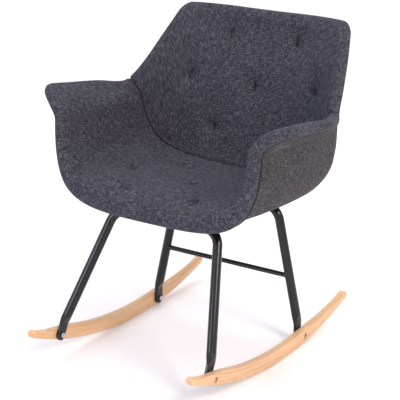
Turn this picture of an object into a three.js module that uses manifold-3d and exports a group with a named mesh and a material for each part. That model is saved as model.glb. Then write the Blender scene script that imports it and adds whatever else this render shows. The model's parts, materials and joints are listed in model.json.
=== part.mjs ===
// A rocking chair: a padded bucket seat on two bent-tube leg loops, bolted to two beech rockers.
// Millimetres, +Z up. The sitter faces -Y and the sitter's left is +X. The origin is the middle of the
// bounding box's base. The chair is symmetric about x = 0, so most sizes are given for its +X half.
import * as THREE from 'three';
import { mergeVertices } from 'three/addons/utils/BufferGeometryUtils.js';
import Module from 'manifold-3d';

// ---- Driving dimensions ------------------------------------------------------------------------

const fitGap = 0.3; // clearance kept between pieces that touch

// Rockers
const rockerX = 235; // middle plane of each rocker
const rockerThickness = 21;
const rockerDepth = 36; // underside to top edge at mid-length
const rockerTipDepth = 19;
const frontTaper = 0.15; // radians of arc over which the depth falls to the front tip
const rearTaper = 0.25; // and to the rear tip
const rockerRadius = 1014; // underside arc
const rockerFlat = 0.066; // radians of arc in the flat that the chair stands on
const rockerFacet = 0.0403; // and in each other flat of the underside
const rockerFrontFacets = 10; // flats in front of the one on the floor
const rockerRearFacets = 7;
const rockerEdge = 2.5; // chamfer along the rocker's edges
const contactY = 55; // the rockers meet the floor here
const floorArc = rockerRadius * Math.cos(rockerFlat / 2); // height of the arc's centre, its flats cut in

// Leg loops
const tubeRadius = 12;
const tubeSides = 12;
const smallSides = 10; // sides of bolts, nuts, buttons and their holes
const footHalfWidth = 15; // the tube's end, pressed flat
const footHalfThickness = 4;
const footStraight = 34; // height of the flat above the bolt
const footPress = 26; // length over which the tube turns flat
const loopBend = 46;
const footBend = 60;
const frontBolt = [-280, 72]; // y, z of the bolt through foot and rocker
const rearBolt = [148, 21];
const frontBar = [-128, 378.5]; // y, z of the bar under the seat
const rearBar = [150, 361];
const barBendX = 152; // x where the leg's line meets the bar's
const stretcherRadius = 6.5;
const stretcherZ = 178;

// Bolts: the same size in the feet and under the seat
const boltRadius = 3;
const boltHeadRadius = 6.5;
const boltHeadHeight = 4.5;
const socketRadius = 2.3;
const socketDepth = 2.5;
const boltLength = 17; // from the foot's inner face into the sleeve nut
const sleeveRadius = 4.6;
const sleeveHeadRadius = 6.2;
const sleeveHeadHeight = 3.5;
const sleeveShort = 3; // the sleeve ends this far short of the rocker's inner face
const sleeveFloor = 1; // metal between the bolt's end and the recess
const recessDepth = 6; // the sleeve nut's head sits in this recess in the rocker's outer face
const plateWidth = 200; // the plate welded on each bar
const plateDepth = 46;
const plateThickness = 3;
const plateShift = 6;
const fixingX = 78; // bolts through plate and shell
const fixingBack = 14; // behind the plate's middle
const spacerRadius = 11;
const spacerBite = 1.5; // the spacers press this far into the cover
const teeBarrelRadius = 4.4;
const teeFlangeRadius = 10;
const teeFlangeHeight = 1.6;

// Bucket seat. Sections run across the chair from its middle line out to the rim. Each station gives
// the middle line (spine: y, z), the rim (x, y, z), the way the section reaches the rim (lean), how far
// it holds the direction of each end (flat at the middle, rise at the rim), and the padding inside and
// the cover outside the moulded shell, at the middle and at the rim.
const stations = [
  { v: 0.0, spine: [-198, 407], rim: [340, -174, 664], flare: 60, lean: [-0.01, 0.09, 1],
    flat: 236, rise: 256, pad: [38, 14], cover: [18, 14] },
  { v: 0.06, spine: [-160, 415], rim: [350, -135, 659], flare: 62, lean: [-0.01, 0.07, 1],
    flat: 252, rise: 240, pad: [40, 14], cover: [14, 14] },
  { v: 0.18, spine: [-80, 411], rim: [346, -63, 648], flare: 53, lean: [0.04, 0.03, 1],
    flat: 300, rise: 218, pad: [39, 14], cover: [12, 14] },
  { v: 0.36, spine: [60, 397], rim: [342, 50, 630], flare: 42, lean: [0.13, 0, 1],
    flat: 326, rise: 180, pad: [38, 14], cover: [12, 14] },
  { v: 0.5, spine: [180, 392], rim: [315, 132, 616], flare: 18, lean: [0.16, -0.1, 1],
    flat: 318, rise: 150, pad: [34, 14], cover: [12, 14] },
  { v: 0.58, spine: [230, 412], rim: [299, 164, 632], flare: 4, lean: [0.18, -0.25, 1],
    flat: 300, rise: 130, pad: [28, 14], cover: [12, 14] },
  { v: 0.7, spine: [258, 500], rim: [284, 212, 674], flare: 0, lean: [0.7, -0.6, 0.3],
    flat: 225, rise: 105, pad: [24, 14], cover: [12, 13] },
  { v: 0.85, spine: [306, 640], rim: [264, 270, 738], flare: 0, lean: [0.86, -0.5, 0.05],
    flat: 140, rise: 90, pad: [24, 14], cover: [12, 13] },
  { v: 0.94, spine: [345, 741], rim: [250, 304, 778], flare: 0, lean: [0.9, -0.42, 0.02],
    flat: 122, rise: 84, pad: [20, 14], cover: [12, 13] },
  { v: 1.0, spine: [352, 803], rim: [241, 326, 805], flare: 0, lean: [0.93, -0.36, 0],
    flat: 110, rise: 80, pad: [15, 14], cover: [13, 13] },
];
const flareFrom = 0.91; // share of a section from which its rim turns outwards
const creaseV = 0.555; // seat pad and back pad meet here
const tipRound = 0.085; // share of the v range that rounds the arm tips
const tipPull = 0.06; // how far the front edge stops short of the tips, as a share of a section
const cornerRound = 0.04; // the same for the top corners
const cornerPull = 0.07;
const rollWidest = 22; // the rim's roll stands out no further than this
const rollSteps = 5;
const shellHalf = 3.5;
const shellInset = 12; // from the padding's edge line to the shell's edge
const seamInset = 14; // from the padding's edge line to the seam on the outside
const creaseGap = 2;
const layerGap = 1.6; // between padding, shell and cover, whose facets follow slightly different lines
const seamGap = 3; // between the edges that meet along the seam and round the shell

// Tufting: a covered button at the bottom of each dimple. name, x, y, z on the padding's face
const buttonRadius = 6.5;
const buttonHeight = 5;
const tuftDepth = 11;
const tuftPocketRadius = 8.5;
const tuftBackFrom = 480; // tufts above this height are in the back
const tufts = [
  ['seat_button_front', 101, -160, 448],
  ['seat_button_centre', 0, -19, 440],
  ['seat_button_side', 186, -17, 450],
  ['seat_button_rear', 101, 118, 430],
  ['back_button_low', 101, 236, 512],
  ['back_button_centre', 0, 290, 622],
  ['back_button_side', 186, 258, 640],
  ['back_button_top', 101, 338, 744],
];

// ---- Colours -----------------------------------------------------------------------------------

const look = (color, roughness, metalness) => new THREE.MeshStandardMaterial({ color, roughness, metalness });
const fabric = look(0x4d4d57, 0.95, 0);
const shellPlastic = look(0x2b2b2d, 0.6, 0);
const blackSteel = look(0x1c1c20, 0.4, 0.6);
const beech = look(0xe6b27e, 0.5, 0);
const zinc = look(0xb9bcc0, 0.35, 0.9);
const rubber = look(0x18181a, 0.9, 0);

const chair = new THREE.Group();

function addPart(name, geometry, material) {
  const mesh = new THREE.Mesh(geometry, material);
  mesh.name = name;
  chair.add(mesh);
  return mesh;
}

// ---- Solids ------------------------------------------------------------------------------------

const wasm = await Module();
wasm.setup();

function toSolid(geometry) {
  const bare = geometry.clone();
  bare.deleteAttribute('normal');
  bare.deleteAttribute('uv');
  const merged = mergeVertices(bare, 1e-4);
  return new wasm.Manifold(new wasm.Mesh({
    numProp: 3,
    vertProperties: new Float32Array(merged.attributes.position.array),
    triVerts: new Uint32Array(merged.index.array),
  }));
}

function toGeometry(solid) {
  const mesh = solid.getMesh();
  const geometry = new THREE.BufferGeometry();
  geometry.setAttribute('position', new THREE.Float32BufferAttribute(mesh.vertProperties, 3));
  geometry.setIndex(Array.from(mesh.triVerts));
  return geometry;
}

function cut(geometry, tools) {
  let solid = toSolid(geometry);
  for (const tool of tools) solid = solid.subtract(toSolid(tool));
  return toGeometry(solid);
}

// Turns corner lists into a closed geometry, with its faces turned outwards.
function fromFaces(points, faces) {
  let volume = 0;
  for (const [a, b, c] of faces) {
    volume += points[a].dot(new THREE.Vector3().crossVectors(points[b], points[c])) / 6;
  }
  const turned = volume < 0 ? faces.map(([a, b, c]) => [a, c, b]) : faces;
  const geometry = new THREE.BufferGeometry();
  const places = points.flatMap((p) => [p.x, p.y, p.z]);
  geometry.setAttribute('position', new THREE.Float32BufferAttribute(places, 3));
  geometry.setIndex(turned.flat());
  return geometry;
}

// ---- The bucket's middle surface ---------------------------------------------------------------

function blend(values, k, t, span, before, after) {
  const slope = (i, j, width) => (values[j] - values[i]) / width;
  const m0 = slope(before.i, k + 1, before.width) * span;
  const m1 = slope(k, after.i, after.width) * span;
  const t2 = t * t;
  const t3 = t2 * t;
  return (2 * t3 - 3 * t2 + 1) * values[k] + (t3 - 2 * t2 + t) * m0
    + (3 * t2 - 2 * t3) * values[k + 1] + (t3 - t2) * m1;
}

// A smooth value along the stations; key picks a number out of a station.
function along(v, key) {
  const last = stations.length - 1;
  let k = 0;
  while (k < last - 1 && v > stations[k + 1].v) k += 1;
  const span = stations[k + 1].v - stations[k].v;
  const i = Math.max(k - 1, 0);
  const j = Math.min(k + 2, last);
  const before = { i, width: stations[k + 1].v - stations[i].v };
  const after = { i: j, width: stations[j].v - stations[k].v };
  return blend(stations.map(key), k, (v - stations[k].v) / span, span, before, after);
}

function surfacePoint(u, v) {
  const side = Math.sign(u) || 1;
  const t = Math.abs(u);
  const spine = [0, along(v, (s) => s.spine[0]), along(v, (s) => s.spine[1])];
  const rim = [0, 1, 2].map((n) => along(v, (s) => s.rim[n]));
  const lean = new THREE.Vector3(...[0, 1, 2].map((n) => along(v, (s) => s.lean[n]))).normalize();
  const flat = along(v, (s) => s.flat);
  const rise = along(v, (s) => s.rise);
  const flare = along(v, (s) => s.flare);
  rim[0] -= flare;
  const inner = [flat, spine[1], spine[2]];
  const outer = [rim[0] - rise * lean.x, rim[1] - rise * lean.y, rim[2] - rise * lean.z];
  const w = [(1 - t) ** 3, 3 * t * (1 - t) ** 2, 3 * t * t * (1 - t), t ** 3];
  const at = (n) => w[0] * spine[n] + w[1] * inner[n] + w[2] * outer[n] + w[3] * rim[n];
  const turned = flare * (Math.max(0, t - flareFrom) / (1 - flareFrom)) ** 2;
  return new THREE.Vector3(side * (at(0) + turned), at(1), at(2));
}

function surfaceFrame(u, v) {
  const h = 1e-3;
  const du = surfacePoint(u + h, v).sub(surfacePoint(u - h, v)).divideScalar(2 * h);
  const lo = Math.max(v - h, 0);
  const hi = Math.min(v + h, 1);
  const dv = surfacePoint(u, hi).sub(surfacePoint(u, lo)).divideScalar(hi - lo);
  const normal = new THREE.Vector3().crossVectors(du, dv).normalize();
  return { du, dv, normal };
}

// Padding thins from the seat or back towards the arms' walls; the cover's change is even.
function padAt(u, v) {
  const share = THREE.MathUtils.smoothstep(Math.abs(u), 0.3, 0.85);
  return THREE.MathUtils.lerp(along(v, (s) => s.pad[0]), along(v, (s) => s.pad[1]), share);
}

const coverAt = (u, v) => (
  THREE.MathUtils.lerp(along(v, (s) => s.cover[0]), along(v, (s) => s.cover[1]), u * u));

// A point off the middle surface: positive towards the sitter, negative towards the outside.
function offsetPoint({ u, v }, distance) {
  return surfacePoint(u, v).addScaledVector(surfaceFrame(u, v).normal, distance);
}

// Moves a point within the surface by a step in space.
function slide(point, step) {
  const { du, dv } = surfaceFrame(point.u, point.v);
  const a = du.dot(du);
  const b = du.dot(dv);
  const c = dv.dot(dv);
  const p = du.dot(step);
  const q = dv.dot(step);
  const det = a * c - b * b;
  return { u: point.u + (c * p - b * q) / det, v: point.v + (a * q - b * p) / det };
}

// ---- The grid that all the bucket's layers share -----------------------------------------------

const columns = 20; // across the whole width
const seatRows = 8;
const backRows = 6;
const roundSteps = 3;
const creaseRow = roundSteps + seatRows;
const lastRow = creaseRow + backRows + roundSteps;

// v of each row, closer together where the arm tips and the top corners are rounded.
function rowValue(row) {
  const eased = (n) => 1 - Math.cos(((n / roundSteps) * Math.PI) / 2);
  if (row < roundSteps) return tipRound * eased(row);
  if (row > lastRow - roundSteps) return 1 - cornerRound * eased(lastRow - row);
  if (row <= creaseRow) return THREE.MathUtils.lerp(tipRound, creaseV, (row - roundSteps) / seatRows);
  return THREE.MathUtils.lerp(creaseV, 1 - cornerRound, (row - creaseRow) / backRows);
}

// How far out a row reaches (u = 1 is the rim), pulled in where a corner is rounded.
function rowReach(v) {
  const pull = (distance, length, share) => {
    const x = Math.max(0, 1 - distance / length);
    return share * (1 - Math.sqrt(1 - x * x));
  };
  return 1 - pull(v, tipRound, tipPull) - pull(1 - v, cornerRound, cornerPull);
}

const rim = [];
for (let r = 0; r <= lastRow; r += 1) {
  const v = rowValue(r);
  const reach = rowReach(v);
  rim.push(Array.from({ length: columns + 1 }, (_, c) => ({ u: reach * ((2 * c) / columns - 1), v })));
}

const onEdge = (r, c) => r === 0 || r === lastRow || c === 0 || c === columns;

// The edge of the grid, once round: seen by the sitter, from the front left and anticlockwise.
const edgePath = [];
for (let c = 0; c < columns; c += 1) edgePath.push([0, c]);
for (let r = 0; r < lastRow; r += 1) edgePath.push([r, columns]);
for (let c = columns; c > 0; c -= 1) edgePath.push([lastRow, c]);
for (let r = lastRow; r > 0; r -= 1) edgePath.push([r, 0]);

edgePath.forEach(([r, c], n) => {
  const [r0, c0] = edgePath[(n + edgePath.length - 1) % edgePath.length];
  const [r1, c1] = edgePath[(n + 1) % edgePath.length];
  const tangent = surfacePoint(rim[r1][c1].u, rim[r1][c1].v)
    .sub(surfacePoint(rim[r0][c0].u, rim[r0][c0].v)).normalize();
  const { normal } = surfaceFrame(rim[r][c].u, rim[r][c].v);
  rim[r][c].outward = new THREE.Vector3().crossVectors(tangent, normal).normalize();
});

// A place in the surface, drawn in from an edge point by a distance in millimetres.
const drawnIn = (point, distance) => slide(point, point.outward.clone().multiplyScalar(-distance));

// The grid inside the seam. Its edge is drawn in, and the inside follows by a smooth blend.
const coreInset = seamInset + seamGap;
const moved = rim.map((row, r) => row.map((p, c) => {
  if (!onEdge(r, c)) return { u: 0, v: 0 };
  const to = drawnIn(p, coreInset);
  return { u: to.u - p.u, v: to.v - p.v };
}));
const core = rim.map((row, r) => row.map((p, c) => {
  const s = c / columns;
  const t = r / lastRow;
  const shift = (key) => {
    if (onEdge(r, c)) return moved[r][c][key];
    const edges = (1 - t) * moved[0][c][key] + t * moved[lastRow][c][key]
      + (1 - s) * moved[r][0][key] + s * moved[r][columns][key];
    const corners = (1 - s) * (1 - t) * moved[0][0][key] + s * (1 - t) * moved[0][columns][key]
      + (1 - s) * t * moved[lastRow][0][key] + s * t * moved[lastRow][columns][key];
    return edges - corners;
  };
  return { u: p.u + shift('u'), v: p.v + shift('v') };
}));

// ---- Layers ------------------------------------------------------------------------------------

// A closed layer of the bucket over some of the rows. front and back are its offsets from the middle
// surface. profile gives the places between its front and back edges at an edge point. Where the layer
// stops at the crease it is cut square.
function layer(fromRow, toRow, front, back, profile) {
  const points = [];
  const faces = [];
  const quad = (a, b, c, d) => faces.push([a, b, c], [a, c, d]);
  const creaseStep = creaseGap / 2 / surfaceFrame(0, creaseV).dv.length();
  const nudge = (r) => (r === toRow && toRow < lastRow ? -creaseStep : 0)
    + (r === fromRow && fromRow > 0 ? creaseStep : 0);
  const placed = (p, r) => ({ ...p, v: p.v + nudge(r) });
  const add = (point) => points.push(point) - 1;
  const frontAt = {};
  const backAt = {};
  const key = (r, c) => `${r},${c}`;
  for (let r = fromRow; r <= toRow; r += 1) {
    for (let c = 0; c <= columns; c += 1) {
      const p = placed(core[r][c], r);
      frontAt[key(r, c)] = add(offsetPoint(p, front(p.u, p.v)));
      backAt[key(r, c)] = add(offsetPoint(p, back(p.u, p.v)));
    }
  }
  const gridQuad = (at, r, c) => [at[key(r, c)], at[key(r, c + 1)], at[key(r + 1, c + 1)], at[key(r + 1, c)]];
  for (let r = fromRow; r < toRow; r += 1) {
    for (let c = 0; c < columns; c += 1) {
      quad(...gridQuad(frontAt, r, c));
      const [a, b, d, e] = gridQuad(backAt, r, c);
      faces.push([a, d, b], [a, e, d]);
    }
  }
  const path = edgePath.filter(([r]) => r >= fromRow && r <= toRow);
  const whole = fromRow === 0 && toRow === lastRow;
  // start an open path at its square end
  const split = path.findIndex(([r, c], n) => {
    const [r1, c1] = path[(n + 1) % path.length];
    return Math.abs(r1 - r) + Math.abs(c1 - c) > 1;
  });
  const ordered = split < 0 ? path : [...path.slice(split + 1), ...path.slice(0, split + 1)];
  const rings = ordered.map(([r, c]) => {
    const edge = placed(rim[r][c], r);
    const between = profile(edge).map(([inset, depth, bulge]) => {
      const at = inset > 0 ? { ...drawnIn(edge, inset) } : { u: edge.u, v: edge.v };
      if (nudge(r) !== 0) at.v = THREE.MathUtils.lerp(edge.v, placed(core[r][c], r).v, inset / coreInset);
      return add(offsetPoint(at, depth).addScaledVector(edge.outward, bulge));
    });
    return [frontAt[key(r, c)], ...between, backAt[key(r, c)]];
  });
  const count = whole ? rings.length : rings.length - 1;
  for (let n = 0; n < count; n += 1) {
    const here = rings[n];
    const next = rings[(n + 1) % rings.length];
    for (let k = 0; k < here.length - 1; k += 1) quad(here[k], here[k + 1], next[k + 1], next[k]);
  }
  if (whole) return fromFaces(points, faces);
  // the square end: a wall between front and back, and the rim's profile at both sides
  const endRow = toRow < lastRow ? toRow : fromRow;
  for (let c = 0; c < columns; c += 1) {
    const wall = [
      frontAt[key(endRow, c)], frontAt[key(endRow, c + 1)],
      backAt[key(endRow, c + 1)], backAt[key(endRow, c)],
    ];
    if (endRow === fromRow) wall.reverse();
    quad(...wall);
  }
  [0, rings.length - 1].forEach((n) => {
    const [r, c] = ordered[n];
    const edge = placed(rim[r][c], r);
    const { normal } = surfaceFrame(edge.u, edge.v);
    const centre = surfacePoint(edge.u, edge.v);
    const outline = rings[n].map((index) => {
      const offset = points[index].clone().sub(centre);
      return new THREE.Vector2(offset.dot(edge.outward), offset.dot(normal));
    });
    for (const corners of THREE.ShapeUtils.triangulateShape(outline, [])) {
      const triangle = corners.map((k) => rings[n][k]);
      faces.push(n === 0 ? triangle : triangle.reverse());
    }
  });
  return fromFaces(points, faces);
}

// The pads roll over the rim, and come back under the shell's edge as far as the seam.
function padProfile(edge) {
  const inside = padAt(edge.u, edge.v);
  const outside = coverAt(edge.u, edge.v);
  const middle = (inside - outside) / 2;
  const half = (inside + outside) / 2;
  const bulge = Math.min(half, rollWidest);
  const shellSide = shellHalf + layerGap;
  const channel = shellInset - seamGap;
  const roll = [];
  for (let n = 0; n <= rollSteps; n += 1) {
    const angle = (n / rollSteps) * Math.PI;
    roll.push([0, middle + half * Math.cos(angle), bulge * Math.sin(angle)]);
  }
  return [
    ...roll,
    [seamInset, -outside, 0],
    [seamInset, -shellSide, 0],
    [channel, -shellSide, 0],
    [channel, shellSide, 0],
  ];
}

const padBack = () => shellHalf + layerGap;
const seatPad = layer(0, creaseRow, padAt, padBack, padProfile);
const backPad = layer(creaseRow, lastRow, padAt, padBack, padProfile);
const shellEdge = () => [[shellInset, shellHalf, 0], [shellInset, -shellHalf, 0]];
const shell = layer(0, lastRow, () => shellHalf, () => -shellHalf, shellEdge);
const cover = layer(0, lastRow, () => -(shellHalf + layerGap), (u, v) => -coverAt(u, v), () => []);

// ---- Turned pieces and holes -------------------------------------------------------------------

// A solid of revolution from its outline (radius, height), set at a place with its axis in a direction.
function turned(outline, sides, at, axis) {
  const geometry = new THREE.LatheGeometry(outline.map(([r, h]) => new THREE.Vector2(r, h)), sides);
  const turn = new THREE.Quaternion().setFromUnitVectors(new THREE.Vector3(0, 1, 0), axis);
  geometry.applyQuaternion(turn);
  geometry.translate(at.x, at.y, at.z);
  return geometry;
}

const rod = (radius, from, to, sides, at, axis) => (
  turned([[0, from], [radius, from], [radius, to], [0, to]], sides, at, axis));

const up = new THREE.Vector3(0, 0, 1);
const sideways = new THREE.Vector3(1, 0, 0);

// ---- Tufting buttons ---------------------------------------------------------------------------

// The nearest place in the middle surface to a point.
function locate(x, y, z) {
  const target = new THREE.Vector3(x, y, z);
  let place = { u: x / 350, v: z > tuftBackFrom ? 0.8 : 0.2 };
  for (let n = 0; n < 12; n += 1) place = slide(place, target.clone().sub(surfacePoint(place.u, place.v)));
  return place;
}

const tuftPockets = [];

function addTuft(name, x, y, z) {
  const place = locate(Math.abs(x), y, z);
  place.u *= Math.sign(x) || 1;
  const { normal } = surfaceFrame(place.u, place.v);
  const bottom = offsetPoint(place, padAt(place.u, place.v) - tuftDepth);
  const pocketTop = tuftDepth + tuftPocketRadius;
  tuftPockets.push(rod(tuftPocketRadius, 0, pocketTop, smallSides, bottom, normal));
  const dome = [[0, 0], [1, 0], [0.85, 0.7], [0, 1]];
  const outline = dome.map(([r, h]) => [r * buttonRadius, fitGap + h * buttonHeight]);
  addPart(name, turned(outline, smallSides, bottom, normal), fabric);
}

for (const [name, x, y, z] of tufts) {
  if (x === 0) addTuft(`${name}_middle`, x, y, z);
  else {
    addTuft(`${name}_left`, x, y, z);
    addTuft(`${name}_right`, -x, y, z);
  }
}

// ---- Leg loops ---------------------------------------------------------------------------------

// Rounds a corner of a path: places and directions along the bend.
function bend(before, corner, after, radius, steps) {
  const enter = corner.clone().sub(before).normalize();
  const leave = after.clone().sub(corner).normalize();
  const turn = enter.angleTo(leave);
  const start = corner.clone().addScaledVector(enter, -radius * Math.tan(turn / 2));
  const side = leave.clone().addScaledVector(enter, -leave.dot(enter)).normalize();
  const centre = start.clone().addScaledVector(side, radius);
  return Array.from({ length: steps + 1 }, (_, k) => {
    const angle = (turn * k) / steps;
    const at = centre.clone()
      .addScaledVector(side, -radius * Math.cos(angle))
      .addScaledVector(enter, radius * Math.sin(angle));
    const along = enter.clone().multiplyScalar(Math.cos(angle)).addScaledVector(side, Math.sin(angle));
    return { at, along };
  });
}

// Closes a row of rings into one solid.
function skin(rings) {
  const sides = rings[0].length;
  const faces = [];
  for (let r = 0; r < rings.length - 1; r += 1) {
    for (let s = 0; s < sides; s += 1) {
      const a = r * sides + s;
      const b = r * sides + ((s + 1) % sides);
      faces.push([a, b, b + sides], [a, b + sides, a + sides]);
    }
  }
  const lastRing = (rings.length - 1) * sides;
  for (let s = 1; s < sides - 1; s += 1) {
    faces.push([0, s + 1, s], [lastRing, lastRing + s, lastRing + s + 1]);
  }
  return fromFaces(rings.flat(), faces);
}

const footX = rockerX - rockerThickness / 2 - fitGap - footHalfThickness;

// One loop: a leg down each side and the bar across under the seat. spare widens it, to cut a clearance.
function legLoop(bolt, bar, spare) {
  const lean = new THREE.Vector2(bar[0] - bolt[0], bar[1] - bolt[1]);
  const legLength = lean.length();
  lean.divideScalar(legLength);
  const onLeg = (x, distance) => (
    new THREE.Vector3(x, bolt[0] + lean.x * distance, bolt[1] + lean.y * distance));
  const across = new THREE.Vector3(0, lean.y, -lean.x);
  const foot = onLeg(footX, -footHalfWidth);
  const ankle = onLeg(footX, footStraight);
  const shoulder = onLeg(barBendX, legLength);
  const other = new THREE.Vector3(-barBendX, shoulder.y, shoulder.z);
  // the foot's round end, pressed flat
  const stops = [0.12, 0.5, 1, Math.PI / 2].map((angle) => ({
    at: onLeg(footX, -footHalfWidth * Math.cos(angle)),
    along: ankle.clone().sub(foot).normalize(),
    width: footHalfWidth * Math.sin(angle),
    thickness: footHalfThickness,
  }));
  // the leg, turning from flat to round above the rocker
  for (const stop of bend(foot, ankle, shoulder, footBend, 2)) stops.push(stop);
  const rounded = footStraight + footPress;
  const share = (rounded - footStraight) / (legLength - footStraight);
  stops.push({
    at: onLeg(THREE.MathUtils.lerp(footX, barBendX, share), rounded),
    along: shoulder.clone().sub(ankle).normalize(),
  });
  stops.push(...bend(ankle, shoulder, other, loopBend, 6));
  const halfRings = stops.map((stop) => {
    const distance = (stop.at.y - bolt[0]) * lean.x + (stop.at.z - bolt[1]) * lean.y;
    const round = THREE.MathUtils.smoothstep(distance, footStraight - footBend / 6, rounded);
    const width = stop.width ?? THREE.MathUtils.lerp(footHalfWidth, tubeRadius, round);
    const thickness = stop.thickness ?? THREE.MathUtils.lerp(footHalfThickness, tubeRadius, round);
    const flatways = new THREE.Vector3().crossVectors(stop.along, across).normalize();
    return Array.from({ length: tubeSides }, (_, s) => {
      const angle = ((s + 0.5) / tubeSides) * 2 * Math.PI;
      return stop.at.clone()
        .addScaledVector(across, (width + spare) * Math.cos(angle))
        .addScaledVector(flatways, (thickness + spare) * Math.sin(angle));
    });
  });
  const mirrored = halfRings.map((ring) => ring.map((p) => new THREE.Vector3(-p.x, p.y, p.z)));
  return skin([...halfRings, ...mirrored.reverse()]);
}

const loops = [
  { name: 'front', bolt: frontBolt, bar: frontBar },
  { name: 'rear', bolt: rearBolt, bar: rearBar },
];
const sides = [['left', 1], ['right', -1]];

function addLoop({ name, bolt, bar }) {
  const holes = sides.map(([, sign]) => {
    const at = new THREE.Vector3(sign * footX, bolt[0], bolt[1]);
    return rod(boltRadius + fitGap, -tubeRadius, tubeRadius, smallSides, at, sideways);
  });
  addPart(`${name}_leg_loop`, cut(legLoop(bolt, bar, 0), holes), blackSteel);
}

loops.forEach(addLoop);

// The stretcher between the rear legs, its ends shaped to the tubes it is welded to.
const stretcherY = THREE.MathUtils.mapLinear(stretcherZ, rearBolt[1], rearBar[1], rearBolt[0], rearBar[0]);
const stretcherMiddle = new THREE.Vector3(0, stretcherY, stretcherZ);
const stretcherBlank = rod(stretcherRadius, -footX, footX, tubeSides, stretcherMiddle, sideways);
const trimmed = toSolid(cut(stretcherBlank, [legLoop(rearBolt, rearBar, fitGap)])).decompose();
const longest = trimmed.reduce((a, b) => (a.volume() > b.volume() ? a : b));
addPart('rear_stretcher', toGeometry(longest), blackSteel);

// ---- Rockers and their bolts -------------------------------------------------------------------

function rockerShape() {
  const angles = [];
  for (let n = rockerFrontFacets; n >= 0; n -= 1) angles.push(-rockerFlat / 2 - n * rockerFacet);
  for (let n = 0; n <= rockerRearFacets; n += 1) angles.push(rockerFlat / 2 + n * rockerFacet);
  const start = angles[0];
  const end = angles.at(-1);
  const at = (angle, depth) => {
    const radius = rockerRadius - depth;
    return new THREE.Vector2(contactY + radius * Math.sin(angle), floorArc - radius * Math.cos(angle));
  };
  const depthAt = (angle) => {
    const near = Math.min((angle - start) / frontTaper, (end - angle) / rearTaper);
    return THREE.MathUtils.lerp(rockerTipDepth, rockerDepth, THREE.MathUtils.smoothstep(near, 0, 1));
  };
  const outline = angles.map((angle) => at(angle, 0));
  const tip = (angle, sense) => {
    const middle = at(angle, rockerTipDepth / 2);
    const outward = new THREE.Vector2(Math.cos(angle), Math.sin(angle)).multiplyScalar(sense);
    const upward = new THREE.Vector2(-Math.sin(angle), Math.cos(angle));
    for (let n = 1; n < 6; n += 1) {
      const turn = (sense > 0 ? n / 6 : 1 - n / 6) * Math.PI;
      outline.push(middle.clone()
        .addScaledVector(outward, (rockerTipDepth / 2) * Math.sin(turn))
        .addScaledVector(upward, (-rockerTipDepth / 2) * Math.cos(turn)));
    }
  };
  tip(end, 1);
  for (const angle of angles.reverse()) outline.push(at(angle, depthAt(angle)));
  tip(start, -1);
  return new THREE.Shape(outline);
}

function rocker(sign) {
  const geometry = new THREE.ExtrudeGeometry(rockerShape(), {
    depth: rockerThickness - 2 * rockerEdge,
    bevelEnabled: true,
    bevelThickness: rockerEdge,
    bevelSize: rockerEdge,
    bevelOffset: -rockerEdge,
    bevelSegments: 2,
  });
  // the shape's x and y become the chair's y and z, and its depth runs along x
  geometry.applyMatrix4(new THREE.Matrix4().set(
    0, 0, 1, sign * rockerX - rockerThickness / 2 + rockerEdge,
    1, 0, 0, 0,
    0, 1, 0, 0,
    0, 0, 0, 1,
  ));
  const outward = new THREE.Vector3(sign, 0, 0);
  const holes = loops.flatMap(({ bolt }) => {
    const at = new THREE.Vector3(sign * rockerX, bolt[0], bolt[1]);
    const recessFloor = rockerThickness / 2 - recessDepth;
    return [
      rod(sleeveRadius + fitGap, -rockerThickness, rockerThickness, smallSides, at, outward),
      rod(sleeveHeadRadius + fitGap, recessFloor, rockerThickness, smallSides, at, outward),
    ];
  });
  return cut(geometry, holes);
}

// A socket-headed bolt and the sleeve nut that it screws into from the rocker's outside.
function addRockerBolt(loop, side, sign) {
  const outward = new THREE.Vector3(sign, 0, 0);
  const y = loop.bolt[0];
  const z = loop.bolt[1];
  const footInside = new THREE.Vector3(sign * (footX - footHalfThickness), y, z);
  const headTop = -fitGap - boltHeadHeight;
  const boltOutline = [
    [0, headTop + socketDepth], [socketRadius, headTop + socketDepth], [socketRadius, headTop],
    [boltHeadRadius, headTop], [boltHeadRadius, -fitGap],
    [boltRadius, -fitGap], [boltRadius, boltLength], [0, boltLength],
  ];
  addPart(`${loop.name}_${side}_rocker_bolt`, turned(boltOutline, smallSides, footInside, outward), zinc);
  const recess = new THREE.Vector3(sign * (rockerX + rockerThickness / 2 - recessDepth), y, z);
  const inner = recessDepth + sleeveShort - rockerThickness;
  const nutOutline = [
    [0, -sleeveFloor], [boltRadius + fitGap, -sleeveFloor], [boltRadius + fitGap, inner],
    [sleeveRadius, inner], [sleeveRadius, fitGap], [sleeveHeadRadius, fitGap],
    [sleeveHeadRadius, sleeveHeadHeight], [0, sleeveHeadHeight],
  ];
  addPart(`${loop.name}_${side}_sleeve_nut`, turned(nutOutline, smallSides, recess, outward), zinc);
}

for (const [side, sign] of sides) {
  addPart(`${side}_rocker`, rocker(sign), beech);
  for (const loop of loops) addRockerBolt(loop, side, sign);
}

// ---- Seat fixings: a plate welded on each bar, rubber spacers, bolts and tee nuts ---------------

const shellHoles = [];
const coverHoles = [];
const padHoles = [];

// The heights of a layer's face over a circle: its upper face seen from above, or its lower one.
function faceHeights(geometry, at, radius, fromAbove) {
  const target = new THREE.Mesh(geometry, fabric);
  const heights = [];
  for (let n = 0; n <= smallSides; n += 1) {
    const angle = (n / smallSides) * 2 * Math.PI;
    const reach = n === 0 ? 0 : radius;
    const start = new THREE.Vector3(reach * Math.cos(angle), reach * Math.sin(angle), 0).add(at);
    start.z = fromAbove ? tuftBackFrom : 0;
    const ray = new THREE.Raycaster(start, fromAbove ? up.clone().negate() : up);
    heights.push(ray.intersectObject(target)[0].point.z);
  }
  return heights;
}

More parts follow.
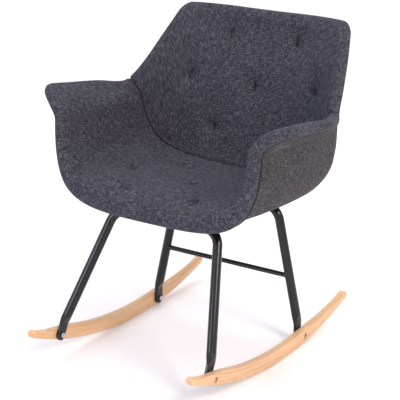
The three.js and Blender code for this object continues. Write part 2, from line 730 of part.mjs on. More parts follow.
function addSeatFixings({ name, bar }) {
  const plateBottom = bar[1] + tubeRadius + fitGap;
  const plateTop = plateBottom + plateThickness;
  const plate = new THREE.BoxGeometry(plateWidth, plateDepth, plateThickness);
  plate.translate(0, bar[0] + plateShift, plateBottom + plateThickness / 2);
  const bore = boltRadius + fitGap;
  const plateHoles = [];
  for (const [side, sign] of sides) {
    const y = bar[0] + plateShift + fixingBack;
    const at = new THREE.Vector3(sign * fixingX, y, 0);
    const shellTop = Math.max(...faceHeights(shell, at, teeFlangeRadius, true));
    const barrelEnd = Math.max(...faceHeights(shell, at, teeBarrelRadius, false));
    const spacerTop = Math.min(...faceHeights(cover, at, spacerRadius, false)) + spacerBite;
    const flangeBottom = shellTop + fitGap;
    const flangeTop = flangeBottom + teeFlangeHeight;
    const headTop = plateBottom - fitGap;
    const headBottom = headTop - boltHeadHeight;
    plateHoles.push(rod(bore, plateBottom - plateThickness, plateTop + plateThickness, smallSides, at, up));
    coverHoles.push(rod(spacerRadius + fitGap, plateTop, spacerTop + fitGap, smallSides, at, up));
    coverHoles.push(rod(bore, plateTop, barrelEnd, smallSides, at, up));
    shellHoles.push(rod(teeBarrelRadius + fitGap, plateTop, flangeTop, smallSides, at, up));
    padHoles.push(rod(teeFlangeRadius + fitGap, barrelEnd, flangeTop + fitGap, smallSides, at, up));
    addPart(`${name}_${side}_spacer`, turned([
      [bore, plateTop + fitGap], [spacerRadius, plateTop + fitGap],
      [spacerRadius, spacerTop], [bore, spacerTop], [bore, plateTop + fitGap],
    ], smallSides, at, up), rubber);
    addPart(`${name}_${side}_seat_bolt`, turned([
      [0, headBottom + socketDepth], [socketRadius, headBottom + socketDepth],
      [socketRadius, headBottom], [boltHeadRadius, headBottom],
      [boltHeadRadius, headTop], [boltRadius, headTop], [boltRadius, shellTop], [0, shellTop],
    ], smallSides, at, up), zinc);
    addPart(`${name}_${side}_tee_nut`, turned([
      [bore, barrelEnd], [teeBarrelRadius, barrelEnd], [teeBarrelRadius, flangeBottom],
      [teeFlangeRadius, flangeBottom], [teeFlangeRadius, flangeTop], [bore, flangeTop],
      [bore, barrelEnd],
    ], smallSides, at, up), zinc);
  }
  addPart(`${name}_seat_plate`, cut(plate, plateHoles), blackSteel);
}

loops.forEach(addSeatFixings);

addPart('seat_pad', cut(seatPad, [...tuftPockets, ...padHoles]), fabric);
addPart('back_pad', cut(backPad, tuftPockets), fabric);
addPart('seat_shell', cut(shell, shellHoles), shellPlastic);
addPart('outer_cover', cut(cover, coverHoles), fabric);

// ---- The chair on its origin -------------------------------------------------------------------

const box = new THREE.Box3().setFromObject(chair);
const shift = new THREE.Vector3(0, -(box.min.y + box.max.y) / 2, -box.min.z);
for (const part of chair.children) part.geometry.translate(shift.x, shift.y, shift.z);

export default chair;
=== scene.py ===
import json
import math
import random

import bmesh
import bpy
import numpy as np
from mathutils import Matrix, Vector


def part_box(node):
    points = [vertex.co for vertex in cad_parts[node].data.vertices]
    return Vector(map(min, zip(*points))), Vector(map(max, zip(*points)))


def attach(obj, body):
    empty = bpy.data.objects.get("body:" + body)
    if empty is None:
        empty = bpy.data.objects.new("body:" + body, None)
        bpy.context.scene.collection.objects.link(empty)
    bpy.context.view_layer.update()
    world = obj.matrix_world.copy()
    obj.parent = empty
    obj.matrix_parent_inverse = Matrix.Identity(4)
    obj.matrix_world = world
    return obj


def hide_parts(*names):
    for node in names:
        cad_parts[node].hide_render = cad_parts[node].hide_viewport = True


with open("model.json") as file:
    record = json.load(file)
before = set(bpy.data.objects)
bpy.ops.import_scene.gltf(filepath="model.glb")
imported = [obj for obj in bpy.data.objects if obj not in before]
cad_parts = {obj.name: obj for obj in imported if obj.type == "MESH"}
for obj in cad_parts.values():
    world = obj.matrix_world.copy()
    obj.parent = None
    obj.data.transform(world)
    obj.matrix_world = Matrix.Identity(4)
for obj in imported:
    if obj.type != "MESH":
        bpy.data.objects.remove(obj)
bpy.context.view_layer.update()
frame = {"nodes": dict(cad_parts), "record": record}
scene = bpy.context.scene
mm = 0.001
print("frame loaded:", len(frame["nodes"]), "pieces")


def centreOf(node):
    low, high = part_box(node)
    return (low + high) / 2


# The bucket's sizes are given about an origin that the front bolts place in the frame.
frontBolt = centreOf("front_left_rocker_bolt")
rearBolt = centreOf("rear_left_rocker_bolt")
bucketOriginY = frontBolt.y + 0.280

camera = {
    "azimuth": 33.47,  # degrees, from straight in front towards the sitter's left
    "elevation": 19.03,
    "distance": 3.588,
    "target": (-0.0472, bucketOriginY + 0.0934, 0.3558),
    "lens": 124.2,
}


def addCamera():
    turn = math.radians(camera["azimuth"])
    rise = math.radians(camera["elevation"])
    away = Vector((math.sin(turn) * math.cos(rise), -math.cos(turn) * math.cos(rise), math.sin(rise)))
    data = bpy.data.cameras.new("camera")
    data.lens = camera["lens"]
    data.sensor_width = 36
    body = bpy.data.objects.new("camera", data)
    body.location = Vector(camera["target"]) + away * camera["distance"]
    body.rotation_euler = (-away).to_track_quat("-Z", "Y").to_euler()
    scene.collection.objects.link(body)
    scene.camera = body


addCamera()
scene.view_settings.view_transform = "Standard"


def linear(hexColour):
    # sRGB hex to the linear values that shaders take
    channels = [int(hexColour[n:n + 2], 16) / 255 for n in (1, 3, 5)]
    return tuple(c / 12.92 if c <= 0.04045 else ((c + 0.055) / 1.055) ** 2.4 for c in channels) + (1.0,)


def addNode(tree, kind, settings=None, links=None, stops=()):
    # One node. Settings go to its attributes or inputs, with hex colours made linear. A link comes from an
    # output or from a node's first output. Stops are a ramp's: a position and a hex colour or a grey.
    node = tree.nodes.new(kind)
    for key, value in (settings or {}).items():
        if isinstance(value, str) and value.startswith("#"):
            value = linear(value)
        if isinstance(key, str) and hasattr(node, key) and key not in node.inputs:
            setattr(node, key, value)
        else:
            node.inputs[key].default_value = value
    for key, given in (links or {}).items():
        tree.links.new(getattr(given, "outputs", [given])[0], node.inputs[key])
    if stops:
        elements = node.color_ramp.elements
        for _ in stops[2:]:
            elements.new(0.5)
        for element, (position, shade) in zip(elements, stops):
            element.position = position
            element.color = linear(shade) if isinstance(shade, str) else (shade, shade, shade, 1)
    return node


def newMaterial(name):
    material = bpy.data.materials.new(name)
    material.use_nodes = True
    material.node_tree.nodes.clear()
    return material, material.node_tree


def finishMaterial(material, settings, links):
    shader = addNode(material.node_tree, "ShaderNodeBsdfPrincipled", settings, links)
    addNode(material.node_tree, "ShaderNodeOutputMaterial", links={"Surface": shader})
    return material


cloth = {
    "inner": {"shadow": "#212127", "ground": "#383840", "pale": "#5c5c67"},
    "outer": {"shadow": "#232223", "ground": "#3a383a", "pale": "#5a5757"},
    "yarn": 2.4,  # mm between yarns: about 1 in the real cloth, drawn this coarse so that the yarns show
    "slub": 15.0,  # mm, a slub's usual length
    "cloud": 70.0,  # mm, the patches where the dye took more or less
    "relief": 0.5,  # mm
}


def heatheredCloth(name, palette):
    # Linen-look polyester upholstery, woven from mottled yarns: matt, with short pale and dark flecks both ways
    material, tree = newMaterial(name)
    place = addNode(tree, "ShaderNodeUVMap", {"uv_map": "weave"})

    def flecks(across, along, detail):
        scale = (1000 / across, 1000 / along, 1)
        at = addNode(tree, "ShaderNodeMapping", {"Scale": scale}, {"Vector": place})
        return addNode(tree, "ShaderNodeTexNoise", {
            "noise_dimensions": "2D", "Scale": 1.0, "Detail": detail, "Roughness": 0.55,
        }, {"Vector": at})

    warp = flecks(cloth["yarn"], cloth["slub"], 1.5)
    weft = flecks(cloth["slub"], cloth["yarn"], 1.5)
    cloud = flecks(cloth["cloud"], cloth["cloud"], 3.0)
    most = addNode(tree, "ShaderNodeMath", {"operation": "MAXIMUM"}, {0: warp, 1: weft})
    least = addNode(tree, "ShaderNodeMath", {"operation": "MINIMUM"}, {0: warp, 1: weft})
    both = addNode(tree, "ShaderNodeMath", {"operation": "ADD"}, {0: warp, 1: weft})
    pale = addNode(tree, "ShaderNodeValToRGB", links={"Fac": most}, stops=[(0.55, 0.0), (0.74, 1.0)])
    dark = addNode(tree, "ShaderNodeValToRGB", links={"Fac": least}, stops=[(0.27, 1.0), (0.44, 0.0)])
    patches = addNode(tree, "ShaderNodeValToRGB", links={"Fac": cloud}, stops=[(0.3, 0.84), (0.7, 1.0)])
    # a colour mix has its factor at input 0, its colours at 6 and 7 and its result at output 2
    light = addNode(tree, "ShaderNodeMix", {
        "data_type": "RGBA", 6: palette["ground"], 7: palette["pale"],
    }, {0: pale}).outputs[2]
    yarns = addNode(tree, "ShaderNodeMix", {
        "data_type": "RGBA", 7: palette["shadow"],
    }, {0: dark, 6: light}).outputs[2]
    clouded = addNode(tree, "ShaderNodeMix", {
        "data_type": "RGBA", "blend_type": "MULTIPLY", 0: 1.0,
    }, {6: yarns, 7: patches}).outputs[2]
    relief = {"Strength": 0.6, "Distance": cloth["relief"] * mm}
    bump = addNode(tree, "ShaderNodeBump", relief, {"Height": both})
    return finishMaterial(material, {
        "Roughness": 0.95,
        "IOR": 1.45,
        "Sheen Weight": 0.12,
        "Sheen Roughness": 0.5,
        "Sheen Tint": "#9a9ab0",
        "Specular IOR Level": 0.2,
    }, {"Base Color": clouded, "Normal": bump})


coat = {
    "colour": "#0f0f12",
    "peel": 2.38,  # mm, the orange-peel skin's bumps
    "smudge": 111.0,  # mm, the patches of more and less gloss
}


def powderCoat():
    # Steel tube under satin black powder coat: dark, with long soft highlights and a faint orange-peel skin
    material, tree = newMaterial("satinBlackPowderCoat")
    place = {"Vector": addNode(tree, "ShaderNodeTexCoord").outputs["Object"]}
    peel = addNode(tree, "ShaderNodeTexNoise", {"Scale": 1000 / coat["peel"], "Detail": 2.0}, place)
    smudge = addNode(tree, "ShaderNodeTexNoise", {"Scale": 1000 / coat["smudge"], "Detail": 4.0}, place)
    gloss = addNode(tree, "ShaderNodeValToRGB", links={"Fac": smudge}, stops=[(0.3, 0.16), (0.7, 0.26)])
    bump = addNode(tree, "ShaderNodeBump", {"Strength": 0.12, "Distance": 0.6 * mm}, {"Height": peel})
    return finishMaterial(material, {
        "Base Color": coat["colour"], "IOR": 1.5, "Specular IOR Level": 0.4,
    }, {"Roughness": gloss, "Normal": bump})


beech = {
    "pale": "#d7ae85",
    "mid": "#d1a579",
    "line": "#c49567",
    "fleck": "#a2744a",
    "ringWidth": 3.5,  # mm between growth lines across the board
    "ringLength": 260.0,  # mm along it
    "fleckLength": 5.0,  # mm, the short ray flecks that mark beech
    "fleckWidth": 0.7,
    "tintLength": 160.0,  # mm, slow changes of tone
    "tintWidth": 30.0,
}


def lacqueredBeech():
    # Steamed beech, sanded and clear lacquered: pinkish tan, faint growth lines, short brown flecks, soft gloss
    material, tree = newMaterial("lacqueredBeech")
    place = addNode(tree, "ShaderNodeUVMap", {"uv_map": "grain"})

    def stretched(across, along, detail):
        at = addNode(tree, "ShaderNodeMapping", {"Scale": (1000 / along, 1000 / across, 1)}, {"Vector": place})
        return addNode(tree, "ShaderNodeTexNoise", {
            "noise_dimensions": "2D", "Scale": 1.0, "Detail": detail, "Distortion": 0.3,
        }, {"Vector": at})

    rings = stretched(beech["ringWidth"], beech["ringLength"], 3.0)
    flecks = stretched(beech["fleckWidth"], beech["fleckLength"], 1.0)
    tint = stretched(beech["tintWidth"], beech["tintLength"], 2.0)
    body = addNode(tree, "ShaderNodeValToRGB", links={"Fac": rings}, stops=[
        (0.3, beech["line"]), (0.45, beech["mid"]), (0.6, beech["pale"])])
    mask = addNode(tree, "ShaderNodeValToRGB", links={"Fac": flecks}, stops=[(0.62, 0.0), (0.7, 0.55)])
    marked = addNode(tree, "ShaderNodeMix", {
        "data_type": "RGBA", 7: beech["fleck"],
    }, {0: mask, 6: body}).outputs[2]
    shade = addNode(tree, "ShaderNodeValToRGB", links={"Fac": tint}, stops=[(0.25, 0.9), (0.75, 1.06)])
    tinted = addNode(tree, "ShaderNodeMix", {
        "data_type": "RGBA", "blend_type": "MULTIPLY", 0: 1.0,
    }, {6: marked, 7: shade}).outputs[2]
    gloss = addNode(tree, "ShaderNodeValToRGB", links={"Fac": flecks}, stops=[(0.3, 0.38), (0.75, 0.5)])
    bump = addNode(tree, "ShaderNodeBump", {"Strength": 0.15, "Distance": 0.4 * mm}, {"Height": flecks})
    return finishMaterial(material, {
        "IOR": 1.5, "Coat Weight": 0.3, "Coat Roughness": 0.25,
    }, {"Base Color": tinted, "Roughness": gloss, "Normal": bump})


def plainFinish(name, colour, roughness, metallic, grain, strength):
    # a machine-made surface with a fine grain, in mm, that shades its colour, its gloss and its skin
    material, tree = newMaterial(name)
    place = addNode(tree, "ShaderNodeTexCoord").outputs["Object"]
    noise = addNode(tree, "ShaderNodeTexNoise", {"Scale": 1000 / grain, "Detail": 3.0}, {"Vector": place})
    shade = addNode(tree, "ShaderNodeValToRGB", links={"Fac": noise}, stops=[(0.3, 0.25), (0.7, 1.0)])
    varied = addNode(tree, "ShaderNodeMix", {
        "data_type": "RGBA", "blend_type": "MULTIPLY", 0: 0.25, 6: colour,
    }, {7: shade}).outputs[2]
    gloss = addNode(tree, "ShaderNodeValToRGB", links={"Fac": noise}, stops=[
        (0.2, roughness * 0.8), (0.8, min(1.0, roughness * 1.25))])
    bump = addNode(tree, "ShaderNodeBump", {"Strength": strength, "Distance": 0.3 * mm}, {"Height": noise})
    return finishMaterial(material, {"Metallic": metallic}, {
        "Base Color": varied, "Roughness": gloss, "Normal": bump})


innerCloth = heatheredCloth("heatheredLinenCloth", cloth["inner"])
outerCloth = heatheredCloth("heatheredLinenClothOuter", cloth["outer"])
blackCoat = powderCoat()
beechWood = lacqueredBeech()
# zinc plated by barrel: cool, bright and a little uneven
zincPlate = plainFinish("brightZincPlate", "#c6c9ce", 0.3, 1.0, 1.2, 0.1)
# moulded in a lightly textured tool: dark grey, half matt
shellPlastic = plainFinish("mouldedPolypropylene", "#2b2b2d", 0.55, 0.0, 2.0, 0.2)
# dull black, without a highlight: the cord that draws the seam as a dark line
blackCord = plainFinish("blackSeamLineCord", "#121215", 0.9, 0.0, 1.5, 0.4)
# compression moulded: black and soft looking
rubberBlack = plainFinish("mouldedRubber", "#151516", 0.8, 0.0, 1.5, 0.2)
print("materials made")


def makePiece(name, points, faces, material, uvs=None, uvName="weave"):
    # uvs: one place for each point, or one for each corner of each face in turn
    mesh = bpy.data.meshes.new(name)
    mesh.from_pydata([tuple(p) for p in points], [], faces)
    if uvs is not None:
        uvs = np.asarray(uvs)
        if len(uvs) == len(points):
            vertexOfCorner = np.zeros(len(mesh.loops), int)
            mesh.loops.foreach_get("vertex_index", vertexOfCorner)
            uvs = uvs[vertexOfCorner]
        mesh.uv_layers.new(name=uvName).data.foreach_set("uv", uvs.ravel())
    work = bmesh.new()
    work.from_mesh(mesh)
    bmesh.ops.recalc_face_normals(work, faces=work.faces)
    work.to_mesh(mesh)
    work.free()
    mesh.materials.append(material)
    piece = bpy.data.objects.new(name, mesh)
    scene.collection.objects.link(piece)
    mesh.shade_smooth()
    return piece


def finishPiece(piece, slotName, *nodes):
    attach(piece, "root")
    if nodes:
        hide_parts(*nodes)


# The bucket. Sections run across the chair from its middle line out to the rim, in mm, as the solids' do.
bucket = {
    "stationOrder": ("v", "spineY", "spineZ", "rimX", "rimY", "rimZ", "flare", "leanX", "leanY", "leanZ",
                     "flat", "rise", "padMiddle", "padRim", "coverMiddle", "coverRim"),
    "stations": (
        (0.00, -198, 407, 340, -174, 664, 60, -0.01, 0.09, 1.00, 236, 256, 38, 14, 18, 14),
        (0.06, -160, 415, 350, -135, 659, 62, -0.01, 0.07, 1.00, 252, 240, 40, 14, 14, 14),
        (0.18, -80, 411, 346, -63, 648, 53, 0.04, 0.03, 1.00, 300, 218, 39, 14, 12, 14),
        (0.36, 60, 397, 342, 50, 630, 42, 0.13, 0.00, 1.00, 326, 180, 38, 14, 12, 14),
        (0.50, 180, 392, 315, 132, 616, 18, 0.16, -0.10, 1.00, 318, 150, 34, 14, 12, 14),
        (0.58, 230, 412, 299, 164, 632, 4, 0.18, -0.25, 1.00, 300, 130, 28, 14, 12, 14),
        (0.70, 258, 500, 284, 212, 674, 0, 0.70, -0.60, 0.30, 225, 105, 24, 14, 12, 13),
        (0.85, 306, 640, 264, 270, 738, 0, 0.86, -0.50, 0.05, 140, 90, 24, 14, 12, 13),
        (0.94, 345, 741, 250, 304, 778, 0, 0.90, -0.42, 0.02, 122, 84, 20, 14, 12, 13),
        (1.00, 352, 803, 241, 326, 805, 0, 0.93, -0.36, 0.00, 110, 80, 15, 14, 13, 13),
    ),
    "flareFrom": 0.91,  # share of a section from which its rim turns outwards
    "creaseV": 0.555,  # the seat's and back's panels meet here
    "tipRound": 0.085,  # the outline rounds off over this share of v at the arms' front ends
    "tipPull": 0.06,  # and draws in by this share of u
    "cornerRound": 0.04,  # the same at the back's upper corners
    "cornerPull": 0.07,
    "rollWidest": 22,  # mm that the padding rolls out past the rim
    "rollSteps": 14,
    "shellHalf": 3.5,  # half of the shell's thickness
    "layerGap": 1.6,
    "shellInset": 12,  # the shell's edge, in from the rim
    "seamInset": 14,  # the seam under the rim
    "seamGape": 1.3,  # half of the gap along the seam
    "seamRound": 3.0,  # the edges of padding and cover turn into the seam with this radius
    "seamTurns": (0.35, 0.8, 1.25, math.pi / 2),  # radians of that turn at which a line runs
    "creaseRound": 9.0,
    "columnStep": 8.5,  # mm between the mesh's lines, before the tufts are refined
    "sectionLength": 1250,  # mm, the longest section from rim to rim
}

stationNames = bucket["stationOrder"]
stationTable = np.array(bucket["stations"], float)
for n, name in enumerate(stationNames):
    if name not in ("v", "leanX", "leanY", "leanZ"):
        stationTable[:, n] *= mm
for key in ("spineY", "rimY"):
    stationTable[:, stationNames.index(key)] += bucketOriginY


def along(v):
    # every station value at each v, smoothly
    at = stationTable[:, 0]
    last = len(at) - 1
    k = np.clip(np.searchsorted(at, v, side="right") - 1, 0, last - 1)
    i = np.maximum(k - 1, 0)
    j = np.minimum(k + 2, last)
    span = (at[k + 1] - at[k])[..., None]
    t = (v[..., None] - at[k][..., None]) / span
    before = (stationTable[k + 1] - stationTable[i]) / (at[k + 1] - at[i])[..., None] * span
    after = (stationTable[j] - stationTable[k]) / (at[j] - at[k])[..., None] * span
    return ((2 * t**3 - 3 * t**2 + 1) * stationTable[k] + (t**3 - 2 * t**2 + t) * before
            + (3 * t**2 - 2 * t**3) * stationTable[k + 1] + (t**3 - t**2) * after)


def middleSurface(u, v):
    # u runs from rim to rim through 0 in the middle, v from the seat's front to the back's top
    values = along(v)
    value = {name: values[..., n] for n, name in enumerate(stationNames)}
    side = np.where(u < 0, -1.0, 1.0)
    t = np.abs(u)
    lean = np.stack([value["leanX"], value["leanY"], value["leanZ"]], -1)
    lean /= np.linalg.norm(lean, axis=-1, keepdims=True)
    rim = np.stack([value["rimX"] - value["flare"], value["rimY"], value["rimZ"]], -1)
    spine = np.stack([np.zeros_like(t), value["spineY"], value["spineZ"]], -1)
    inner = np.stack([value["flat"], value["spineY"], value["spineZ"]], -1)
    outer = rim - value["rise"][..., None] * lean
    s = t[..., None]
    at = (1 - s)**3 * spine + 3 * s * (1 - s)**2 * inner + 3 * s * s * (1 - s) * outer + s**3 * rim
    start = bucket["flareFrom"]
    at[..., 0] += value["flare"] * (np.maximum(0, t - start) / (1 - start))**2
    at[..., 0] *= side
    return at


def surfaceFrame(u, v):
    h = 1e-3
    du = (middleSurface(u + h, v) - middleSurface(u - h, v)) / (2 * h)
    low = np.maximum(v - h, 0)
    high = np.minimum(v + h, 1)
    dv = (middleSurface(u, high) - middleSurface(u, low)) / (high - low)[..., None]
    normal = np.cross(du, dv)
    normal /= np.linalg.norm(normal, axis=-1, keepdims=True)
    return du, dv, normal


def smoothStep(x, low, high):
    t = np.clip((x - low) / (high - low), 0, 1)
    return t * t * (3 - 2 * t)


def valueAt(v, name):
    return along(v)[..., stationNames.index(name)]


def padDepth(u, v):
    share = smoothStep(np.abs(u), 0.3, 0.85)
    return valueAt(v, "padMiddle") * (1 - share) + valueAt(v, "padRim") * share


def coverDepth(u, v):
    return valueAt(v, "coverMiddle") * (1 - u * u) + valueAt(v, "coverRim") * u * u


def offsetPoint(u, v, distance):
    normal = surfaceFrame(u, v)[2]
    return middleSurface(u, v) + normal * np.asarray(distance)[..., None]


def slide(u, v, step):
    # moves places within the surface by steps in space
    du, dv, _ = surfaceFrame(u, v)
    a = (du * du).sum(-1)
    b = (du * dv).sum(-1)
    c = (dv * dv).sum(-1)
    p = (du * step).sum(-1)
    q = (dv * step).sum(-1)
    det = a * c - b * b
    return u + (c * p - b * q) / det, v + (a * q - b * p) / det


def locate(point):
    # the nearest place in the middle surface to a point in space
    u = np.array(point.x / 0.35)
    v = np.array(0.8 if point.z > 0.48 else 0.2)
    for _ in range(12):
        u, v = slide(u, v, np.array(point) - middleSurface(u, v))
    return float(u), float(v)


def rowReach(v):
    # how far u goes on each line across, less at the rounded corners
    def pull(distance, length, share):
        x = np.maximum(0, 1 - distance / length)
        return share * (1 - np.sqrt(1 - x * x))

    tip = pull(v, bucket["tipRound"], bucket["tipPull"])
    return 1 - tip - pull(1 - v, bucket["cornerRound"], bucket["cornerPull"])


def panelRows(part):
    # v of each line across: closer at rounded corners and beside the crease
    tip = bucket["tipRound"] * (1 - np.cos(np.linspace(0, math.pi / 2, 8)))
    corner = 1 - bucket["cornerRound"] * (1 - np.cos(np.linspace(math.pi / 2, 0, 8)))
    crease = bucket["creaseV"]
    close = np.array([0.0005, 0.0016, 0.0032, 0.0055, 0.0085, 0.0125])
    seatMiddle = np.linspace(bucket["tipRound"], crease - close[-1], 66)[1:]
    backMiddle = np.linspace(crease + close[-1], 1 - bucket["cornerRound"], 46)[:-1]
    if part == "seat":
        return np.concatenate([tip, seatMiddle, crease - close[-2::-1]])
    if part == "back":
        return np.concatenate([crease + close[:-1], backMiddle, corner])
    return np.concatenate([tip, seatMiddle, backMiddle, corner])


columnCount = int(round(bucket["sectionLength"] / bucket["columnStep"])) // 2 * 2


class Panel:
    # the grid of one panel: its places, its edge in order, and the way out at each edge place
    def __init__(self, part):
        self.rows = panelRows(part)
        share = np.linspace(-1, 1, columnCount + 1)
        self.v = np.repeat(self.rows[:, None], columnCount + 1, 1)
        self.u = rowReach(self.v) * share[None, :]
        last = len(self.rows) - 1
        front = [(0, c) for c in range(columnCount)]
        right = [(r, columnCount) for r in range(last)]
        rear = [(last, c) for c in range(columnCount, 0, -1)]
        left = [(r, 0) for r in range(last, 0, -1)]
        self.openRow = {"seat": last, "back": 0}.get(part)
        self.path = {
            "seat": left + front + right + [(last, columnCount)],
            "back": right + rear + left + [(0, 0)],
        }.get(part, front + right + rear + left)
        self.closed = self.openRow is None
        r, c = np.array(self.path).T
        self.edgeU = self.u[r, c]
        self.edgeV = self.v[r, c]
        at = middleSurface(self.edgeU, self.edgeV)
        if self.closed:
            tangent = np.roll(at, -1, 0) - np.roll(at, 1, 0)
        else:
            tangent = np.gradient(at, axis=0)
        outward = np.cross(tangent, surfaceFrame(self.edgeU, self.edgeV)[2])
        self.outward = outward / np.linalg.norm(outward, axis=-1, keepdims=True)

    def drawnIn(self, distance):
        u, v = slide(self.edgeU, self.edgeV, -distance * self.outward)
        if not self.closed:
            v[0] = self.edgeV[0]
            v[-1] = self.edgeV[-1]
        return u, v

    def insetGrid(self, distance):
        # the whole grid with its edge drawn in, the inside following by a smooth blend
        shift = np.zeros(self.u.shape + (2,))
        u, v = self.drawnIn(distance)
        r, c = np.array(self.path).T
        shift[r, c, 0] = u - self.edgeU
        shift[r, c, 1] = v - self.edgeV
        s = np.linspace(0, 1, self.u.shape[1])[None, :, None]
        t = np.linspace(0, 1, self.u.shape[0])[:, None, None]
        if self.openRow is not None:
            ends = shift[self.openRow]
            shift[self.openRow] = (1 - s[0]) * ends[0] + s[0] * ends[-1]
        edges = (1 - t) * shift[0] + t * shift[-1] + (1 - s) * shift[:, :1] + s * shift[:, -1:]
        corners = ((1 - s) * (1 - t) * shift[0, 0] + s * (1 - t) * shift[0, -1]
                   + (1 - s) * t * shift[-1, 0] + s * t * shift[-1, -1])
        inside = edges - corners
        inside[0] = shift[0]
        inside[-1] = shift[-1]
        inside[:, 0] = shift[:, 0]
        inside[:, -1] = shift[:, -1]
        return self.u + inside[..., 0], self.v + inside[..., 1]


def makeWeaveMap():
    # lengths along the cloth, in metres, over a table of places
    uLine = np.linspace(-1.05, 1.05, 127)
    vLine = np.linspace(0, 1, 161)
    u, v = np.meshgrid(uLine, vLine)
    at = middleSurface(u, v)
    across = np.linalg.norm(np.diff(at, axis=1), axis=-1)
    lengthU = np.concatenate([np.zeros((len(vLine), 1)), np.cumsum(across, 1)], 1)
    lengthU -= lengthU[:, [len(uLine) // 2]]
    up = np.linalg.norm(np.diff(at, axis=0), axis=-1)
    lengthV = np.concatenate([np.zeros((1, len(uLine))), np.cumsum(up, 0)], 0)
    creaseLine = int(round(bucket["creaseV"] * (len(vLine) - 1)))
    lengthV -= lengthV[[creaseLine]]
    lengthV = (lengthV + lengthV[:, [len(uLine) // 2]]) / 2
    return uLine, vLine, np.stack([lengthU, lengthV], -1)


weaveU, weaveV, weaveTable = makeWeaveMap()


def weaveAt(u, v):
    x = np.clip((u - weaveU[0]) / (weaveU[1] - weaveU[0]), 0, len(weaveU) - 1.001)
    y = np.clip((v - weaveV[0]) / (weaveV[1] - weaveV[0]), 0, len(weaveV) - 1.001)
    i, j = x.astype(int), y.astype(int)
    s, t = (x - i)[..., None], (y - j)[..., None]
    return ((1 - s) * (1 - t) * weaveTable[j, i] + s * (1 - t) * weaveTable[j, i + 1]
            + (1 - s) * t * weaveTable[j + 1, i] + s * t * weaveTable[j + 1, i + 1])


def closeLayer(name, panel, front, frontUv, back, backUv, rings, material):
    # Joins a front grid, rings of points round its edge and a back grid into one closed piece.
    # The cloth of the rings has its threads along and across the edge.
    rows, columns = front.shape[:2]
    grid = rows * columns
    count = len(panel.path)
    points = np.concatenate([front.reshape(-1, 3), back.reshape(-1, 3)] + list(rings))
    gridUvs = np.concatenate([frontUv.reshape(-1, 2), backUv.reshape(-1, 2)])
    faces = []
    uvs = []
    for r in range(rows - 1):
        for c in range(columns - 1):
            a = r * columns + c
            b = a + grid
            faces.append((a, a + 1, a + columns + 1, a + columns))
            faces.append((b, b + columns, b + columns + 1, b + 1))
    uvs.append(gridUvs[np.array(faces).ravel()])
    r, c = np.array(panel.path).T
    edge = r * columns + c
    lines = [front[r, c]] + list(rings) + [back[r, c]]
    ids = [edge] + [2 * grid + k * count + np.arange(count) for k in range(len(rings))] + [edge + grid]
    around = np.concatenate([[0], np.cumsum(np.linalg.norm(np.diff(lines[0], axis=0), axis=-1))])
    steps = [np.linalg.norm(b - a, axis=-1) for a, b in zip(lines, lines[1:])]
    out = np.cumsum([np.zeros(count)] + steps, axis=0)
    stop = count if panel.closed else count - 1
    for n in range(stop):
        m = (n + 1) % count
        ahead = around[m] if m else around[-1] + (around[1] - around[0])
        for k in range(len(ids) - 1):
            faces.append((ids[k][n], ids[k + 1][n], ids[k + 1][m], ids[k][m]))
            uvs.append([(around[n], out[k][n]), (around[n], out[k + 1][n]),
                        (ahead, out[k + 1][m]), (ahead, out[k][m])])
    if not panel.closed:
        row = panel.openRow
        for c in range(columns - 1):
            a = row * columns + c
            faces.append((a, a + grid, a + grid + 1, a + 1))
            uvs.append(gridUvs[[a, a + grid, a + grid + 1, a + 1]])
        for n in (0, count - 1):
            faces.append(tuple(line[n] for line in ids))
            uvs.append([(around[n], out[k][n]) for k in range(len(ids))])
    corners = np.concatenate([np.asarray(place).reshape(-1, 2) for place in uvs])
    return makePiece(name, points, faces, material, corners)


tufting = {
    "wideDepth": {"back": 7.5, "seat": 9.0},  # mm, the soft dimple
    "wideReach": 33.0,
    "nearDepth": {"back": 7.0, "seat": 13.0},  # the pinched middle
    "nearReach": 12.0,
    "slitDepth": 9.0,  # the fold that runs through it
    "slitWidth": 3.0,
    "slitLength": 15.0,
    "slitLean": 9.0,  # degrees, the most that a fold leans to a side
    "slitBow": 1.5,  # mm at its ends
    "slitReach": 25.0,  # mm above and below the face that it may move
    "fineReach": 24.0,  # mm round a tuft with a finer mesh
    "fineCuts": 3,
    "buttonRadius": 5.0,
    "buttonSink": {"back": 15.0, "seat": 18.5},  # its top below the padding's face
    "buttonDome": 0.46,  # its height, as a share of its radius
}

tuftNodes = sorted(node for node in frame["nodes"] if "button" in node)
tufts = {}
for node in tuftNodes:
    place = tuple(np.array(value) for value in locate(centreOf(node)))
    _, dv, normal = surfaceFrame(*place)
    tufts[node] = {
        "part": "back" if node.startswith("back") else "seat",
        "face": offsetPoint(*place, padDepth(*place)),
        "normal": normal,
        "up": dv / np.linalg.norm(dv),
    }


def dimpleDepth(points, panelTufts):
    depth = np.zeros(points.shape[:-1])
    for tuft in panelTufts:
        away = np.linalg.norm(points - tuft["face"], axis=-1) / mm
        for size in ("wide", "near"):
            reach = tufting[size + "Reach"]
            depth += tufting[size + "Depth"][tuft["part"]] * np.exp(-(away / reach)**2)
    return depth * mm


clothSettings = {
    "frames": 20,
    "pressure": 4.0,
    "slack": -0.02,  # the cloth is this share larger than the foam under it
    "mostMovement": 4.0,  # mm
    "rollHeld": 0.6,  # how firmly the roll keeps its place
    "creaseHeld": 2.0,  # held up to this many of the crease's radii
    "tuftHeld": 9.0,  # mm, the scale of the held ring round a tuft
    "solver": {
        "quality": 5, "mass": 0.3, "tension_stiffness": 20, "compression_stiffness": 12,
        "shear_stiffness": 8, "bending_stiffness": 0.6, "use_pressure": True,
    },
}


